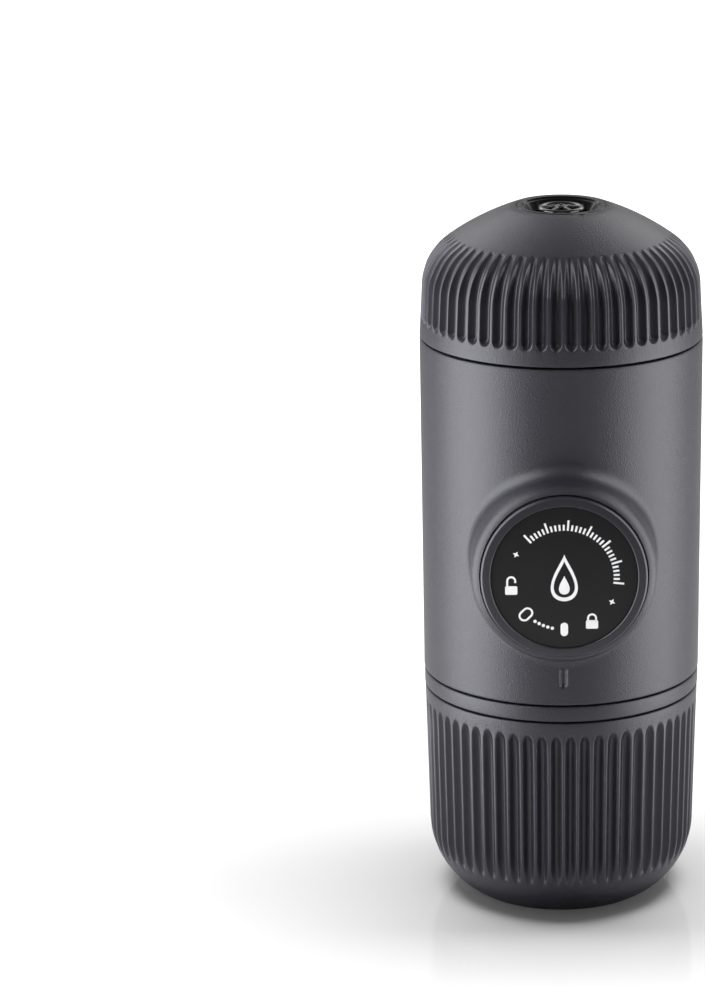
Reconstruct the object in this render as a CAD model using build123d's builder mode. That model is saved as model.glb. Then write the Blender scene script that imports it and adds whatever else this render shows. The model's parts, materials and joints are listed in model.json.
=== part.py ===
from build123d import *
import os

# Handheld manual espresso maker, standing on its cup.
# Millimetres. Origin at the centre of the foot, +Z up the barrel, the pump button faces -Y.

os.makedirs("parts", exist_ok=True)

# ---------------------------------------------------------------- driving dimensions

# Stack of visible bands, bottom to top
cup_height = 47.4
flange_height = 3.4
body_height = 75.2
dome_height = 28.65
seam_gap = 0.45
edge_bevel = 0.35

# Barrel
body_bottom_radius = 30.6
body_taper = 0.4
body_wall = 2.4
frame_seat = 0.6

# Cup
cup_rim_step = 0.2
cup_taper = 0.8
cup_shoulder_height = 15.5
cup_foot_inset = 9.4
cup_wall = 2.0
cup_floor = 2.4
cup_floor_inset = 3.7

# Dome of the tank
dome_taper = 0.6
dome_wall_height = 11.5
dome_shoulder_inset = 5.1
dome_shoulder_rise = 9.4
crown_rim = 0.7
tank_wall = 2.2
crown_collar_wall = 2.2
crown_collar_depth = 5.3

# Flutes of the cup and the dome
flute_count = 60
flute_depth = 0.85
flute_floor_width = 0.7
flute_side_angle = 58
flute_ramp = 1.0
flute_land = 3.4
cup_flute_end = 0.35
dome_flute_end = 0.13

# Clearances
slip_clearance = 0.3
press_clearance = 0.05
running_clearance = 0.05
thread_space = 1.0

# Outlet head and its nozzle
cup_register = 6.5
cup_register_clearance = 0.5
collar_height = 8.0
collar_inset = 2.0
collar_wall = 1.3
head_wall = 2.2
basket_ledge = 2.5
bowl_floor_drop = 20.35
funnel_depth = 7.0
spout_radius = 5.0
spout_tip_radius = 3.6
spout_length = 12.0
spout_taper_height = 5.5
spout_bore_radius = 1.6
spout_collar = 3.0

# Filter basket and scoop
basket_space = 0.8
basket_rim = 0.9
basket_rim_sink = 1.0
basket_depth = 15.6
basket_wall = 0.7
basket_hole_radius = 0.9
basket_hole_rings = ((7.5, 6), (15.0, 12))
scoop_clearance = 0.5
scoop_height = 14.6
scoop_wall = 1.2
scoop_round = 1.5

# Frames inside the barrel
plate_thickness = 2.2
frame_ring_wall = 1.3
seal_height = 2.1
seal_width = 2.7
screen_boss_wall = 1.9
screen_thickness = 0.8
screen_drop = 1.6
screen_hub_radius = 4.0
screen_hole_radius = 0.9
screen_hole_ring = (12.5, 8)
screen_screw_radius = 1.5
screen_screw_length = 3.2
screen_screw_head = 1.2
screen_screw_head_radius = 3.2
tank_socket_depth = 13.9
tank_seal_height = 1.0
pillar_radius = 2.8
pillar_pitch_x = 30.0
pillar_pitch_y = 15.0
chassis_screw_radius = 1.4
chassis_screw_head_radius = 2.6
chassis_screw_length = 10.0

# Pump
pump_rise = 31.9
pump_stroke = 16.0
pump_bore_radius = 6.5
pump_wall = 2.6
pump_front = 9.2
pump_end_wall = 3.6
pump_end_space = 1.0
piston_stop_space = 0.2
piston_slack = 0.2
piston_head_length = 5.4
piston_nose_length = 2.8
piston_nose_radius = 4.8
piston_groove_depth = 1.1
piston_groove_width = 1.9
rod_radius = 5.0
rod_tip_radius = 3.0
rod_thread_radius = 1.5
rod_thread_depth = 8.0
cap_thickness = 3.0
cap_radius = 11.4
yoke_thickness = 3.2
yoke_wall = 1.8
spring_wire = 1.1
spring_radius = 9.6
spring_turns = 6

# Boss and pump button
boss_height = 7.9
boss_wall = 1.85
boss_blend = 3.4
boss_rim_round = 0.7
guide_length = 23.5
button_stand = 1.5
button_radius = 17.8
button_clearance = 0.35
button_wall = 1.7
button_skirt = 24.0
button_bevel = 0.8
disc_rim = 2.1
disc_thickness = 1.0
disc_recess = 0.4
button_web = 2.0
screw_pocket_radius = 5.2
screw_pocket_depth = 1.6
button_screw_head = 1.3
button_screw_head_radius = 4.5

# Check valves
valve_boss_radius = 5.4
valve_chamber_radius = 2.5
valve_chamber_depth = 5.5
valve_ball_radius = 2.0
valve_seat_radius = 1.4
valve_port_length = 1.4
valve_spring_wire = 0.5
valve_spring_turns = 2
tube_radius = 3.3
tube_flange = 2.0
strainer_radius = 6.5
strainer_height = 2.6
strainer_wall = 0.8
strainer_hole_radius = 0.8
strainer_hole_ring = (3.6, 6)

# Air vent in the crown
vent_flange_radius = 9.8
vent_flange_height = 1.5
vent_barrel_radius = 7.9
vent_barrel_height = 4.1
vent_step_radius = 8.8
vent_step_depth = 0.8
vent_well_radius = 6.9
vent_well_depth = 3.6
vent_hole_radius = 0.7
vent_hole_ring = (3.0, 6)
vent_seal_width = 1.1
vent_seal_height = 1.0
wheel_radius = 5.2
wheel_rim = 0.9
wheel_sink = 0.7
wheel_hub_radius = 1.5
wheel_spoke_width = 0.8
wheel_spoke_height = 0.9
wheel_spoke_count = 5
valve_stem_radius = 1.4
valve_disc_radius = 5.8
valve_disc_thickness = 1.0
valve_bead_radius = 1.9
valve_bead_height = 0.7

# Index mark below the button
index_length = 5.3
index_width = 2.2
index_depth = 0.6
index_rise = 6.4

# ---------------------------------------------------------------- derived levels and radii

flange_bottom = cup_height + seam_gap
flange_top = flange_bottom + flange_height
body_bottom = flange_top + seam_gap
body_top = body_bottom + body_height
dome_bottom = body_top + seam_gap
crown_top = dome_bottom + dome_height

body_top_radius = body_bottom_radius + body_taper
body_bore = body_bottom_radius - body_wall
frame_bore = body_bore + frame_seat
frame_radius = frame_bore - press_clearance
index_height = body_bottom + index_rise

cup_rim_radius = body_bottom_radius - cup_rim_step
cup_shoulder_radius = cup_rim_radius - cup_taper
foot_radius = cup_shoulder_radius - cup_foot_inset
cup_floor_radius = foot_radius - cup_floor_inset

dome_wall_radius = body_top_radius - dome_taper
dome_shoulder_radius = dome_wall_radius - dome_shoulder_inset
tank_floor_share = tank_wall / dome_wall_height

flange_radius = (cup_rim_radius + body_bottom_radius) / 2
register_radius = cup_rim_radius - cup_wall - cup_register_clearance
register_bottom = flange_bottom - cup_register
collar_top = flange_top + collar_height
collar_radius = body_bore - collar_inset
collar_bore = collar_radius - collar_wall
basket_pocket_radius = collar_bore - basket_ledge
bowl_floor_height = flange_bottom - bowl_floor_drop
bowl_bottom = bowl_floor_height - head_wall
bowl_radius = basket_pocket_radius + head_wall
nozzle_seat = bowl_bottom - spout_collar
nozzle_flange_radius = spout_radius + head_wall
spout_tip_height = bowl_floor_height - spout_length

basket_rim_top = collar_top - basket_rim_sink
basket_rim_bottom = basket_rim_top - basket_rim
basket_bottom = basket_rim_bottom - basket_depth
basket_radius = basket_pocket_radius - basket_space
basket_rim_radius = collar_bore - slip_clearance
scoop_bottom = basket_bottom + basket_wall + slip_clearance
scoop_radius = basket_radius - basket_wall - scoop_clearance

seal_bottom = basket_rim_top + press_clearance
group_plate_bottom = seal_bottom + seal_height + press_clearance
group_plate_top = group_plate_bottom + plate_thickness
group_socket_radius = collar_radius + thread_space
seal_radius = collar_bore - slip_clearance
seal_bore = seal_radius - seal_width
screen_top = group_plate_bottom - screen_drop
screen_bottom = screen_top - screen_thickness
screen_boss_radius = seal_bore - slip_clearance
screen_boss_bore = screen_boss_radius - screen_boss_wall
screen_boss_bottom = seal_bottom + slip_clearance
screen_radius = screen_boss_bore - slip_clearance

socket_floor = body_top - tank_socket_depth
socket_plate_bottom = socket_floor - plate_thickness
socket_radius = frame_radius - frame_ring_wall
neck_radius = socket_radius - thread_space - press_clearance
neck_bore = neck_radius - tank_wall
tank_seal_bottom = socket_floor + press_clearance
neck_bottom = tank_seal_bottom + tank_seal_height + press_clearance

pump_axis_height = body_bottom + pump_rise
guide_bore = button_radius + button_clearance
boss_radius = guide_bore + boss_wall
boss_reach = body_bottom_radius + boss_height
guide_front = boss_reach - boss_blend
guide_end = boss_reach - guide_length
button_reach = boss_reach + button_stand
disc_radius = button_radius - disc_rim
disc_pocket_radius = disc_radius + 2 * press_clearance
disc_front = button_reach - disc_recess
disc_back = disc_front - disc_thickness
screw_pocket_floor = disc_back - screw_pocket_depth
web_back = screw_pocket_floor - button_web
skirt_end = button_reach - button_skirt
button_bore = button_radius - button_wall

pump_radius = pump_bore_radius + pump_wall
cap_front = pump_front + cap_thickness
piston_radius = pump_bore_radius - piston_slack
piston_front = pump_stroke + piston_stop_space - pump_front
groove_start = piston_front + (piston_head_length - piston_groove_width) / 2
groove_end = groove_start + piston_groove_width
piston_shoulder = piston_front + piston_head_length
piston_end = piston_shoulder + piston_nose_length
pump_end = piston_end + pump_end_space
rod_shoulder = web_back - press_clearance
rod_tip = screw_pocket_floor - press_clearance
screw_head_back = screw_pocket_floor + press_clearance
screw_end = rod_tip - rod_thread_depth + press_clearance

valve_place = (0, (piston_shoulder + piston_end) / 2)
upper_spring_bottom = pump_axis_height + pump_bore_radius + valve_port_length
upper_seat = upper_spring_bottom + valve_chamber_depth
lower_seat = pump_axis_height - pump_bore_radius - valve_port_length
lower_spring_bottom = lower_seat - valve_chamber_depth
ball_drop = (valve_ball_radius**2 - valve_seat_radius**2) ** 0.5 + press_clearance
valve_spring_height = (
    valve_chamber_depth - ball_drop - valve_ball_radius - 2 * press_clearance
)
valve_spring_radius = valve_chamber_radius - slip_clearance - valve_spring_wire / 2
strainer_top = socket_floor + strainer_height

vent_flange_bottom = crown_top - vent_flange_height
vent_bottom = vent_flange_bottom - vent_barrel_height
vent_floor = crown_top - vent_well_depth
vent_bore = vent_barrel_radius + press_clearance
vent_seat_radius = vent_barrel_radius + vent_seal_width
vent_seal_bottom = vent_flange_bottom - vent_seal_height
crown_radius = vent_flange_radius + crown_rim
crown_collar_radius = vent_seat_radius + crown_collar_wall
wheel_top = crown_top - wheel_sink
bead_bottom = vent_floor + press_clearance
valve_disc_top = vent_bottom - press_clearance

# ---------------------------------------------------------------- planes, axes and places

section = Plane.XZ
pump_section = Plane(
    origin=(0, 0, pump_axis_height), x_dir=(0, 1, 0), z_dir=(1, 0, 0)
)
pump_axis = Axis((0, 0, pump_axis_height), (0, 1, 0))
valve_axis = Axis((*valve_place, 0), (0, 0, 1))
valve_section = Plane(origin=(*valve_place, 0), x_dir=(1, 0, 0), z_dir=(0, -1, 0))


def facing(distance):
    """Plane square to the pump, looking out of its front, so far in front of the barrel's axis."""
    return Plane(
        origin=(0, -distance, pump_axis_height), x_dir=(1, 0, 0), z_dir=(0, -1, 0)
    )


def level(height):
    """Horizontal plane at a height above the foot."""
    return Plane.XY.offset(height)


def inside(edge, share, distance):
    """Point at a share of an outline's edge, moved square off it towards the barrel's axis."""
    heading = edge % share
    normal = Vector(-heading.Y, heading.X)
    if normal.X > 0:
        normal = -normal
    return edge @ share + normal * distance


def outline(*points):
    """Filled straight-sided profile in the current sketch, at the coordinates given."""
    return Polygon(*points, align=None)


def ring_profile(bore, radius, bottom, top):
    """Filled section of a plain ring in the current sketch."""
    return outline((bore, bottom), (radius, bottom), (radius, top), (bore, top))


def save(piece, label):
    """Label a finished piece and write it to its own file."""
    piece.part.label = label
    export_step(piece.part, f"parts/{label}.step")


# Outer edge of the cup, from the rim down to the foot
cup_side = Line((cup_rim_radius, cup_height), (cup_shoulder_radius, cup_shoulder_height))
cup_shoulder = TangentArc(cup_side @ 1, (foot_radius, 0), tangent=cup_side % 1)

# Outer edge of the dome, from the seam up to the crown
dome_side = Line(
    (body_top_radius, dome_bottom), (dome_wall_radius, dome_bottom + dome_wall_height)
)
dome_shoulder = TangentArc(
    dome_side @ 1,
    (dome_shoulder_radius, (dome_side @ 1).Y + dome_shoulder_rise),
    tangent=dome_side % 1,
)
dome_cone = TangentArc(
    dome_shoulder @ 1, (crown_radius, crown_top), tangent=dome_shoulder % 1
)


def flute_cutter(side, shoulder_end, land):
    """Cutter for the flute that lies on the section plane.

    The flute starts below the plain land at the open end, ramps in to its full depth, runs down
    the straight side and comes out again through the rounded shoulder at its end point. The
    cutter is a plate as wide as the flute's floor, with sides that lean outwards.
    """
    land_share = land / side.length
    start = side @ land_share
    ramp_foot = inside(side, land_share, flute_depth) + side % land_share * flute_ramp
    side_end = inside(side, 1, flute_depth)
    clear_radius = 2 * body_top_radius
    with BuildPart() as cutter:
        with BuildSketch(section):
            with BuildLine():
                Polyline(start, ramp_foot, side_end)
                TangentArc(side_end, shoulder_end, tangent=side % 1)
                Polyline(
                    shoulder_end,
                    (clear_radius, shoulder_end.Y),
                    (clear_radius, start.Y),
                    start,
                )
            make_face()
        extrude(amount=flute_floor_width / 2, both=True)
        for face in cutter.faces().filter_by(Axis.Y):
            extrude(face, amount=flute_depth, taper=flute_side_angle)
    return cutter.part


# ---------------------------------------------------------------- cup

cup_flute = flute_cutter(cup_side, cup_shoulder @ cup_flute_end, flute_land)

with BuildPart() as cup:
    with BuildSketch(section):
        with BuildLine():
            add(cup_side)
            add(cup_shoulder)
            Polyline(cup_shoulder @ 1, (0, 0), (0, cup_floor), (cup_floor_radius, cup_floor))
            cup_inner_side = Line(
                (cup_rim_radius - cup_wall, cup_height),
                (cup_shoulder_radius - cup_wall, cup_shoulder_height),
            )
            TangentArc(
                cup_inner_side @ 1,
                (cup_floor_radius, cup_floor),
                tangent=cup_inner_side % 1,
            )
            Line(cup_inner_side @ 0, cup_side @ 0)
        make_face()
    revolve(axis=Axis.Z)
    rim_edges = cup.edges().group_by(Axis.Z)[-1].sort_by(SortBy.RADIUS)
    chamfer(rim_edges, edge_bevel)
    with PolarLocations(0, flute_count):
        add(cup_flute, mode=Mode.SUBTRACT)
save(cup, "cup")

# ---------------------------------------------------------------- outlet head

with BuildPart() as outlet_head:
    with BuildSketch(section):
        outline(
            (spout_radius, nozzle_seat),
            (nozzle_flange_radius, nozzle_seat),
            (nozzle_flange_radius, bowl_bottom),
            (bowl_radius, bowl_bottom + funnel_depth),
            (bowl_radius, register_bottom - (register_radius - bowl_radius)),
            (register_radius, register_bottom),
            (register_radius, flange_bottom),
            (flange_radius, flange_bottom),
            (flange_radius, flange_top),
            (collar_radius, flange_top),
            (collar_radius, collar_top),
            (collar_bore, collar_top),
            (collar_bore, basket_rim_bottom),
            (basket_pocket_radius, basket_rim_bottom),
            (basket_pocket_radius, bowl_floor_height + funnel_depth),
            (spout_radius, bowl_floor_height),
        )
    revolve(axis=Axis.Z)
    flange_edges = outlet_head.edges().filter_by(
        lambda edge: edge.geom_type == GeomType.CIRCLE
        and abs(edge.radius - flange_radius) < edge_bevel
    )
    chamfer(flange_edges, edge_bevel)
save(outlet_head, "outlet_head")

with BuildPart() as outlet_spout:
    with BuildSketch(section):
        outline(
            (spout_bore_radius, spout_tip_height),
            (spout_tip_radius, spout_tip_height),
            (nozzle_flange_radius, spout_tip_height + spout_taper_height),
            (nozzle_flange_radius, nozzle_seat),
            (spout_radius - press_clearance, nozzle_seat),
            (spout_radius - press_clearance, bowl_floor_height),
            (spout_bore_radius, bowl_floor_height - spout_collar),
        )
    revolve(axis=Axis.Z)
save(outlet_spout, "outlet_spout")

with BuildPart() as filter_basket:
    with BuildSketch(section):
        outline(
            (0, basket_bottom),
            (basket_radius, basket_bottom),
            (basket_radius, basket_rim_bottom),
            (basket_rim_radius, basket_rim_bottom),
            (basket_rim_radius, basket_rim_top),
            (basket_radius - basket_wall, basket_rim_top),
            (basket_radius - basket_wall, basket_bottom + basket_wall),
            (0, basket_bottom + basket_wall),
        )
    revolve(axis=Axis.Z)
    with BuildSketch(level(basket_bottom)):
        for ring_radius, hole_count in basket_hole_rings:
            with PolarLocations(ring_radius, hole_count):
                Circle(basket_hole_radius)
    extrude(amount=basket_wall, mode=Mode.SUBTRACT)
save(filter_basket, "filter_basket")

with BuildPart() as scoop:
    with BuildSketch(section):
        outline(
            (0, scoop_bottom),
            (scoop_radius, scoop_bottom),
            (scoop_radius, scoop_bottom + scoop_height),
            (scoop_radius - scoop_wall, scoop_bottom + scoop_height),
            (scoop_radius - scoop_wall, scoop_bottom + scoop_wall),
            (0, scoop_bottom + scoop_wall),
        )
    revolve(axis=Axis.Z)
    fillet(scoop.edges().group_by(Axis.Z)[0], scoop_round)
save(scoop, "scoop")

# ---------------------------------------------------------------- lower frame of the body

under_plate = Plane(origin=(0, 0, group_plate_bottom), z_dir=(0, 0, -1))

with BuildPart() as group_head:
    with BuildSketch(section):
        outline(
            (0, screen_top),
            (screen_hub_radius, screen_top),
            (screen_hub_radius, group_plate_bottom),
            (screen_boss_bore, group_plate_bottom),
            (screen_boss_bore, screen_boss_bottom),
            (screen_boss_radius, screen_boss_bottom),
            (screen_boss_radius, group_plate_bottom),
            (group_socket_radius, group_plate_bottom),
            (group_socket_radius, body_bottom),
            (frame_radius, body_bottom),
            (frame_radius, group_plate_top),
            (0, group_plate_top),
        )
    revolve(axis=Axis.Z)
    with Locations(under_plate):
        with GridLocations(pillar_pitch_x, pillar_pitch_y, 2, 2):
            CounterSinkHole(
                chassis_screw_radius + press_clearance,
                chassis_screw_head_radius + press_clearance,
                counter_sink_angle=90,
            )
    with BuildSketch(level(screen_top)):
        Circle(screen_screw_radius + press_clearance)
    extrude(amount=screen_screw_length, mode=Mode.SUBTRACT)
    with BuildSketch(level(group_plate_bottom)):
        with Locations(valve_place):
            Circle(tube_radius + press_clearance)
    extrude(amount=plate_thickness, mode=Mode.SUBTRACT)
save(group_head, "group_head")

with BuildPart() as group_seal:
    with BuildSketch(section):
        ring_profile(seal_bore, seal_radius, seal_bottom, seal_bottom + seal_height)
    revolve(axis=Axis.Z)
save(group_seal, "group_seal")

with BuildPart() as shower_screen:
    with BuildSketch(level(screen_bottom)):
        Circle(screen_radius)
        Circle(screen_screw_radius + press_clearance, mode=Mode.SUBTRACT)
        with PolarLocations(*screen_hole_ring):
            Circle(screen_hole_radius, mode=Mode.SUBTRACT)
    extrude(amount=screen_thickness)
save(shower_screen, "shower_screen")

with BuildPart() as screen_screw:
    with BuildSketch(section):
        outline(
            (0, screen_bottom - screen_screw_head),
            (screen_screw_head_radius, screen_bottom - screen_screw_head),
            (screen_screw_head_radius, screen_bottom),
            (screen_screw_radius, screen_bottom),
            (screen_screw_radius, screen_top + screen_screw_length - press_clearance),
            (0, screen_top + screen_screw_length - press_clearance),
        )
    revolve(axis=Axis.Z)
save(screen_screw, "screen_screw")

# ---------------------------------------------------------------- upper frame of the body

socket_rim = body_top - edge_bevel

with BuildPart() as tank_socket:
    with BuildSketch(section):
        outline(
            (0, socket_plate_bottom),
            (frame_radius, socket_plate_bottom),
            (frame_radius, socket_rim),
            (socket_radius, socket_rim),
            (socket_radius, socket_floor),
            (0, socket_floor),
        )
    revolve(axis=Axis.Z)
    with BuildSketch(level(group_plate_top)):
        with GridLocations(pillar_pitch_x, pillar_pitch_y, 2, 2):
            Circle(pillar_radius)
    extrude(amount=socket_plate_bottom - group_plate_top)
    with BuildSketch(level(group_plate_top)):
        with GridLocations(pillar_pitch_x, pillar_pitch_y, 2, 2):
            Circle(chassis_screw_radius + press_clearance)
    extrude(amount=chassis_screw_length, mode=Mode.SUBTRACT)
    with BuildSketch(level(socket_plate_bottom)):
        with Locations(valve_place):
            Circle(tube_radius + press_clearance)
    extrude(amount=plate_thickness, mode=Mode.SUBTRACT)
save(tank_socket, "tank_socket")

chassis_screw_head = chassis_screw_head_radius - chassis_screw_radius

with BuildPart() as chassis_screws:
    with Locations(under_plate):
        with GridLocations(pillar_pitch_x, pillar_pitch_y, 2, 2):
            Cone(
                chassis_screw_radius,
                chassis_screw_head_radius,
                chassis_screw_head,
                align=(Align.CENTER, Align.CENTER, Align.MAX),
            )
            Cylinder(
                chassis_screw_radius,
                chassis_screw_length,
                align=(Align.CENTER, Align.CENTER, Align.MAX),
            )
save(chassis_screws, "chassis_screws")

# ---------------------------------------------------------------- body casing

index_floor = Plane(
    origin=(0, index_depth - body_bottom_radius, index_height),
    x_dir=(1, 0, 0),
    z_dir=(0, -1, 0),
)

with BuildPart() as body_shell:
    with BuildSketch(section):
        outline(
            (0, body_bottom),
            (body_bottom_radius, body_bottom),
            (body_top_radius, body_top),
            (0, body_top),
        )
    revolve(axis=Axis.Z)
    with BuildSketch(facing(boss_reach)):
        Circle(boss_radius)
    extrude(amount=guide_end - boss_reach)
    boss_foot = body_shell.edges(Select.NEW).filter_by(GeomType.BSPLINE)
    fillet(boss_foot, boss_blend)
    fillet(body_shell.edges().group_by(Axis.Y)[0], boss_rim_round)

    # Bore for the two frames, with a ledge for each
    with BuildSketch(section):
        outline(
            (0, body_bottom),
            (frame_bore, body_bottom),
            (frame_bore, group_plate_top),
            (body_bore, group_plate_top),
            (body_bore, socket_plate_bottom),
            (frame_bore, socket_plate_bottom),
            (frame_bore, body_top),
            (0, body_top),
        )
    revolve(axis=Axis.Z, mode=Mode.SUBTRACT)

    # Guide tube of the button, from inside the boss back into the barrel
    with BuildSketch(facing(guide_front)):
        Circle(boss_radius - press_clearance)
    extrude(amount=guide_end - guide_front)
    with BuildSketch(facing(boss_reach)):
        Circle(guide_bore)
    extrude(amount=guide_end - boss_reach, mode=Mode.SUBTRACT)
    boss_rim = body_shell.edges().group_by(Axis.Y)[0]
    chamfer(boss_rim.sort_by(SortBy.RADIUS)[0], edge_bevel)

    # Index mark, a shallow slot in the front of the barrel
    with BuildSketch(index_floor):
        SlotOverall(index_length, index_width, rotation=90)
    extrude(amount=2 * index_depth, mode=Mode.SUBTRACT)
    barrel_ends = body_shell.edges().group_by(Axis.Z)
    for end in (0, -1):
        chamfer(barrel_ends[end].sort_by(SortBy.RADIUS)[-1], edge_bevel)
save(body_shell, "body_shell")

# ---------------------------------------------------------------- pump

pump_bolt_hole = pillar_radius + press_clearance
yoke_length = pillar_pitch_x + 2 * (pillar_radius + yoke_wall)
yoke_width = pillar_pitch_y + 2 * (pillar_radius + yoke_wall)

with BuildPart() as pump_cylinder:
    with BuildSketch(pump_section):
        outline(
            (-pump_front, 0),
            (-pump_front, pump_radius),
            (pump_end + pump_end_wall, pump_radius),
            (pump_end + pump_end_wall, 0),
        )
    revolve(axis=pump_axis)
    with BuildSketch(level(lower_spring_bottom)):
        with Locations(valve_place):
            Circle(valve_boss_radius)
    extrude(amount=upper_seat - lower_spring_bottom)
    with BuildSketch(level(pump_axis_height)):
        RectangleRounded(yoke_length, yoke_width, pillar_radius + yoke_wall)
    extrude(amount=yoke_thickness / 2, both=True)
    with BuildSketch(level(pump_axis_height)):
        with GridLocations(pillar_pitch_x, pillar_pitch_y, 2, 2):
            Circle(pump_bolt_hole)
    extrude(amount=yoke_thickness, both=True, mode=Mode.SUBTRACT)

    # Room for the cap in the yoke, then the bore
    with BuildSketch(facing(pump_front)):
        Circle(cap_radius + slip_clearance)
    extrude(amount=pump_front, mode=Mode.SUBTRACT)
    with BuildSketch(pump_section):
        outline(
            (-pump_front, 0),
            (-pump_front, pump_bore_radius),
            (pump_end, pump_bore_radius),
            (pump_end, 0),
        )
    revolve(axis=pump_axis, mode=Mode.SUBTRACT)

    # Valve chambers above and below the bore, and their ports
    with BuildSketch(level(lower_spring_bottom)):
        with Locations(valve_place):
            Circle(valve_chamber_radius)
    extrude(amount=valve_chamber_depth, mode=Mode.SUBTRACT)
    with BuildSketch(level(upper_spring_bottom)):
        with Locations(valve_place):
            Circle(valve_chamber_radius)
    extrude(amount=valve_chamber_depth, mode=Mode.SUBTRACT)
    with BuildSketch(level(lower_seat)):
        with Locations(valve_place):
            Circle(valve_seat_radius)
    extrude(amount=upper_spring_bottom - lower_seat, mode=Mode.SUBTRACT)
save(pump_cylinder, "pump_cylinder")

with BuildPart() as cylinder_cap:
    with BuildSketch(pump_section):
        ring_profile(-cap_front, -pump_front, rod_radius + slip_clearance, cap_radius)
    revolve(axis=pump_axis)
save(cylinder_cap, "cylinder_cap")

with BuildPart() as piston:
    with BuildSketch(pump_section):
        outline(
            (-rod_tip + rod_thread_depth, 0),
            (-rod_tip + rod_thread_depth, rod_thread_radius),
            (-rod_tip, rod_thread_radius),
            (-rod_tip, rod_tip_radius),
            (-rod_shoulder, rod_tip_radius),
            (-rod_shoulder, rod_radius),
            (piston_front, rod_radius),
            (piston_front, piston_radius),
            (groove_start, piston_radius),
            (groove_start, piston_radius - piston_groove_depth),
            (groove_end, piston_radius - piston_groove_depth),
            (groove_end, piston_radius),
            (piston_shoulder, piston_radius),
            (piston_shoulder, piston_nose_radius),
            (piston_end, piston_nose_radius),
            (piston_end, 0),
        )
    revolve(axis=pump_axis)
save(piston, "piston")

with BuildPart() as piston_seal:
    with BuildSketch(pump_section):
        ring_profile(
            groove_start + press_clearance,
            groove_end - press_clearance,
            piston_radius - piston_groove_depth + press_clearance,
            pump_bore_radius - running_clearance,
        )
    revolve(axis=pump_axis)
save(piston_seal, "piston_seal")


def coil(start, direction, radius, height, turns, wire):
    """Coil spring of square wire from a start point, with its ends inside the given height."""
    rise = height - wire
    with BuildPart() as spring:
        with BuildLine():
            turns_line = Helix(
                pitch=rise / turns,
                height=rise,
                radius=radius,
                center=Vector(start) + Vector(direction) * (wire / 2),
                direction=direction,
            )
        wire_plane = Plane(
            origin=turns_line @ 0, x_dir=direction, z_dir=turns_line % 0
        )
        with BuildSketch(wire_plane):
            Rectangle(wire, wire)
        sweep(path=turns_line, is_frenet=True)
    return spring


return_spring = coil(
    (0, -cap_front - press_clearance, pump_axis_height),
    (0, -1, 0),
    spring_radius,
    web_back - cap_front - slip_clearance,
    spring_turns,
    spring_wire,
)
save(return_spring, "return_spring")

# ---------------------------------------------------------------- check valves


def tube(flange_face, flange_back, end):
    """Flanged tube on the valves' axis, from its flange to its far end."""
    with BuildPart() as pipe:
        with BuildSketch(valve_section):
            outline(
                (valve_seat_radius, flange_face),
                (valve_boss_radius, flange_face),
                (valve_boss_radius, flange_back),
                (tube_radius, flange_back),
                (tube_radius, end),
                (valve_seat_radius, end),
            )
        revolve(axis=valve_axis)
    return pipe


def ball(seat):
    """Valve ball that closes a seat from below."""
    with BuildPart() as sphere:
        with Locations((*valve_place, seat - ball_drop)):
            Sphere(valve_ball_radius)
    return sphere


def valve_spring(bottom):
    """Small coil that stands in a valve chamber, under its ball."""
    return coil(
        (*valve_place, bottom),
        (0, 0, 1),
        valve_spring_radius,
        valve_spring_height,
        valve_spring_turns,
        valve_spring_wire,
    )


save(tube(upper_seat, upper_seat + tube_flange, socket_floor), "inlet_tube")
save(ball(upper_seat), "inlet_ball")
save(valve_spring(upper_spring_bottom), "inlet_spring")
save(
    tube(lower_spring_bottom, lower_spring_bottom - tube_flange, group_plate_bottom),
    "outlet_tube",
)
save(ball(lower_seat), "outlet_ball")
save(valve_spring(lower_spring_bottom), "outlet_spring")

with BuildPart() as inlet_strainer:
    with BuildSketch(valve_section):
        outline(
            (strainer_radius - strainer_wall, socket_floor),
            (strainer_radius, socket_floor),
            (strainer_radius, strainer_top),
            (0, strainer_top),
            (0, strainer_top - strainer_wall),
            (strainer_radius - strainer_wall, strainer_top - strainer_wall),
        )
    revolve(axis=valve_axis)
    with BuildSketch(level(strainer_top)):
        with Locations(valve_place):
            with PolarLocations(*strainer_hole_ring):
                Circle(strainer_hole_radius)
    extrude(amount=-strainer_wall, mode=Mode.SUBTRACT)
save(inlet_strainer, "inlet_strainer")

# ---------------------------------------------------------------- pump button

with BuildPart() as knob_shell:
    with BuildSketch(pump_section):
        outline(
            (-skirt_end, button_bore),
            (-skirt_end, button_radius),
            (-button_reach + button_bevel, button_radius),
            (-button_reach, button_radius - button_bevel),
            (-button_reach, disc_pocket_radius),
            (-disc_back, disc_pocket_radius),
            (-disc_back, screw_pocket_radius),
            (-screw_pocket_floor, screw_pocket_radius),
            (-screw_pocket_floor, rod_tip_radius + press_clearance),
            (-web_back, rod_tip_radius + press_clearance),
            (-web_back, button_bore),
        )
    revolve(axis=pump_axis)
save(knob_shell, "knob_shell")

with BuildPart() as knob_disc:
    with BuildSketch(facing(disc_back)):
        Circle(disc_radius)
    extrude(amount=disc_thickness)
save(knob_disc, "knob_disc")

with BuildPart() as knob_screw:
    with BuildSketch(pump_section):
        outline(
            (-screw_end, 0),
            (-screw_end, rod_thread_radius - press_clearance),
            (-screw_head_back, rod_thread_radius - press_clearance),
            (-screw_head_back, button_screw_head_radius),
            (-screw_head_back - button_screw_head, button_screw_head_radius),
            (-screw_head_back - button_screw_head, 0),
        )
    revolve(axis=pump_axis)
save(knob_screw, "knob_screw")

# ---------------------------------------------------------------- tank

tank_flute = flute_cutter(dome_side, dome_cone @ dome_flute_end, flute_land)

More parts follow.
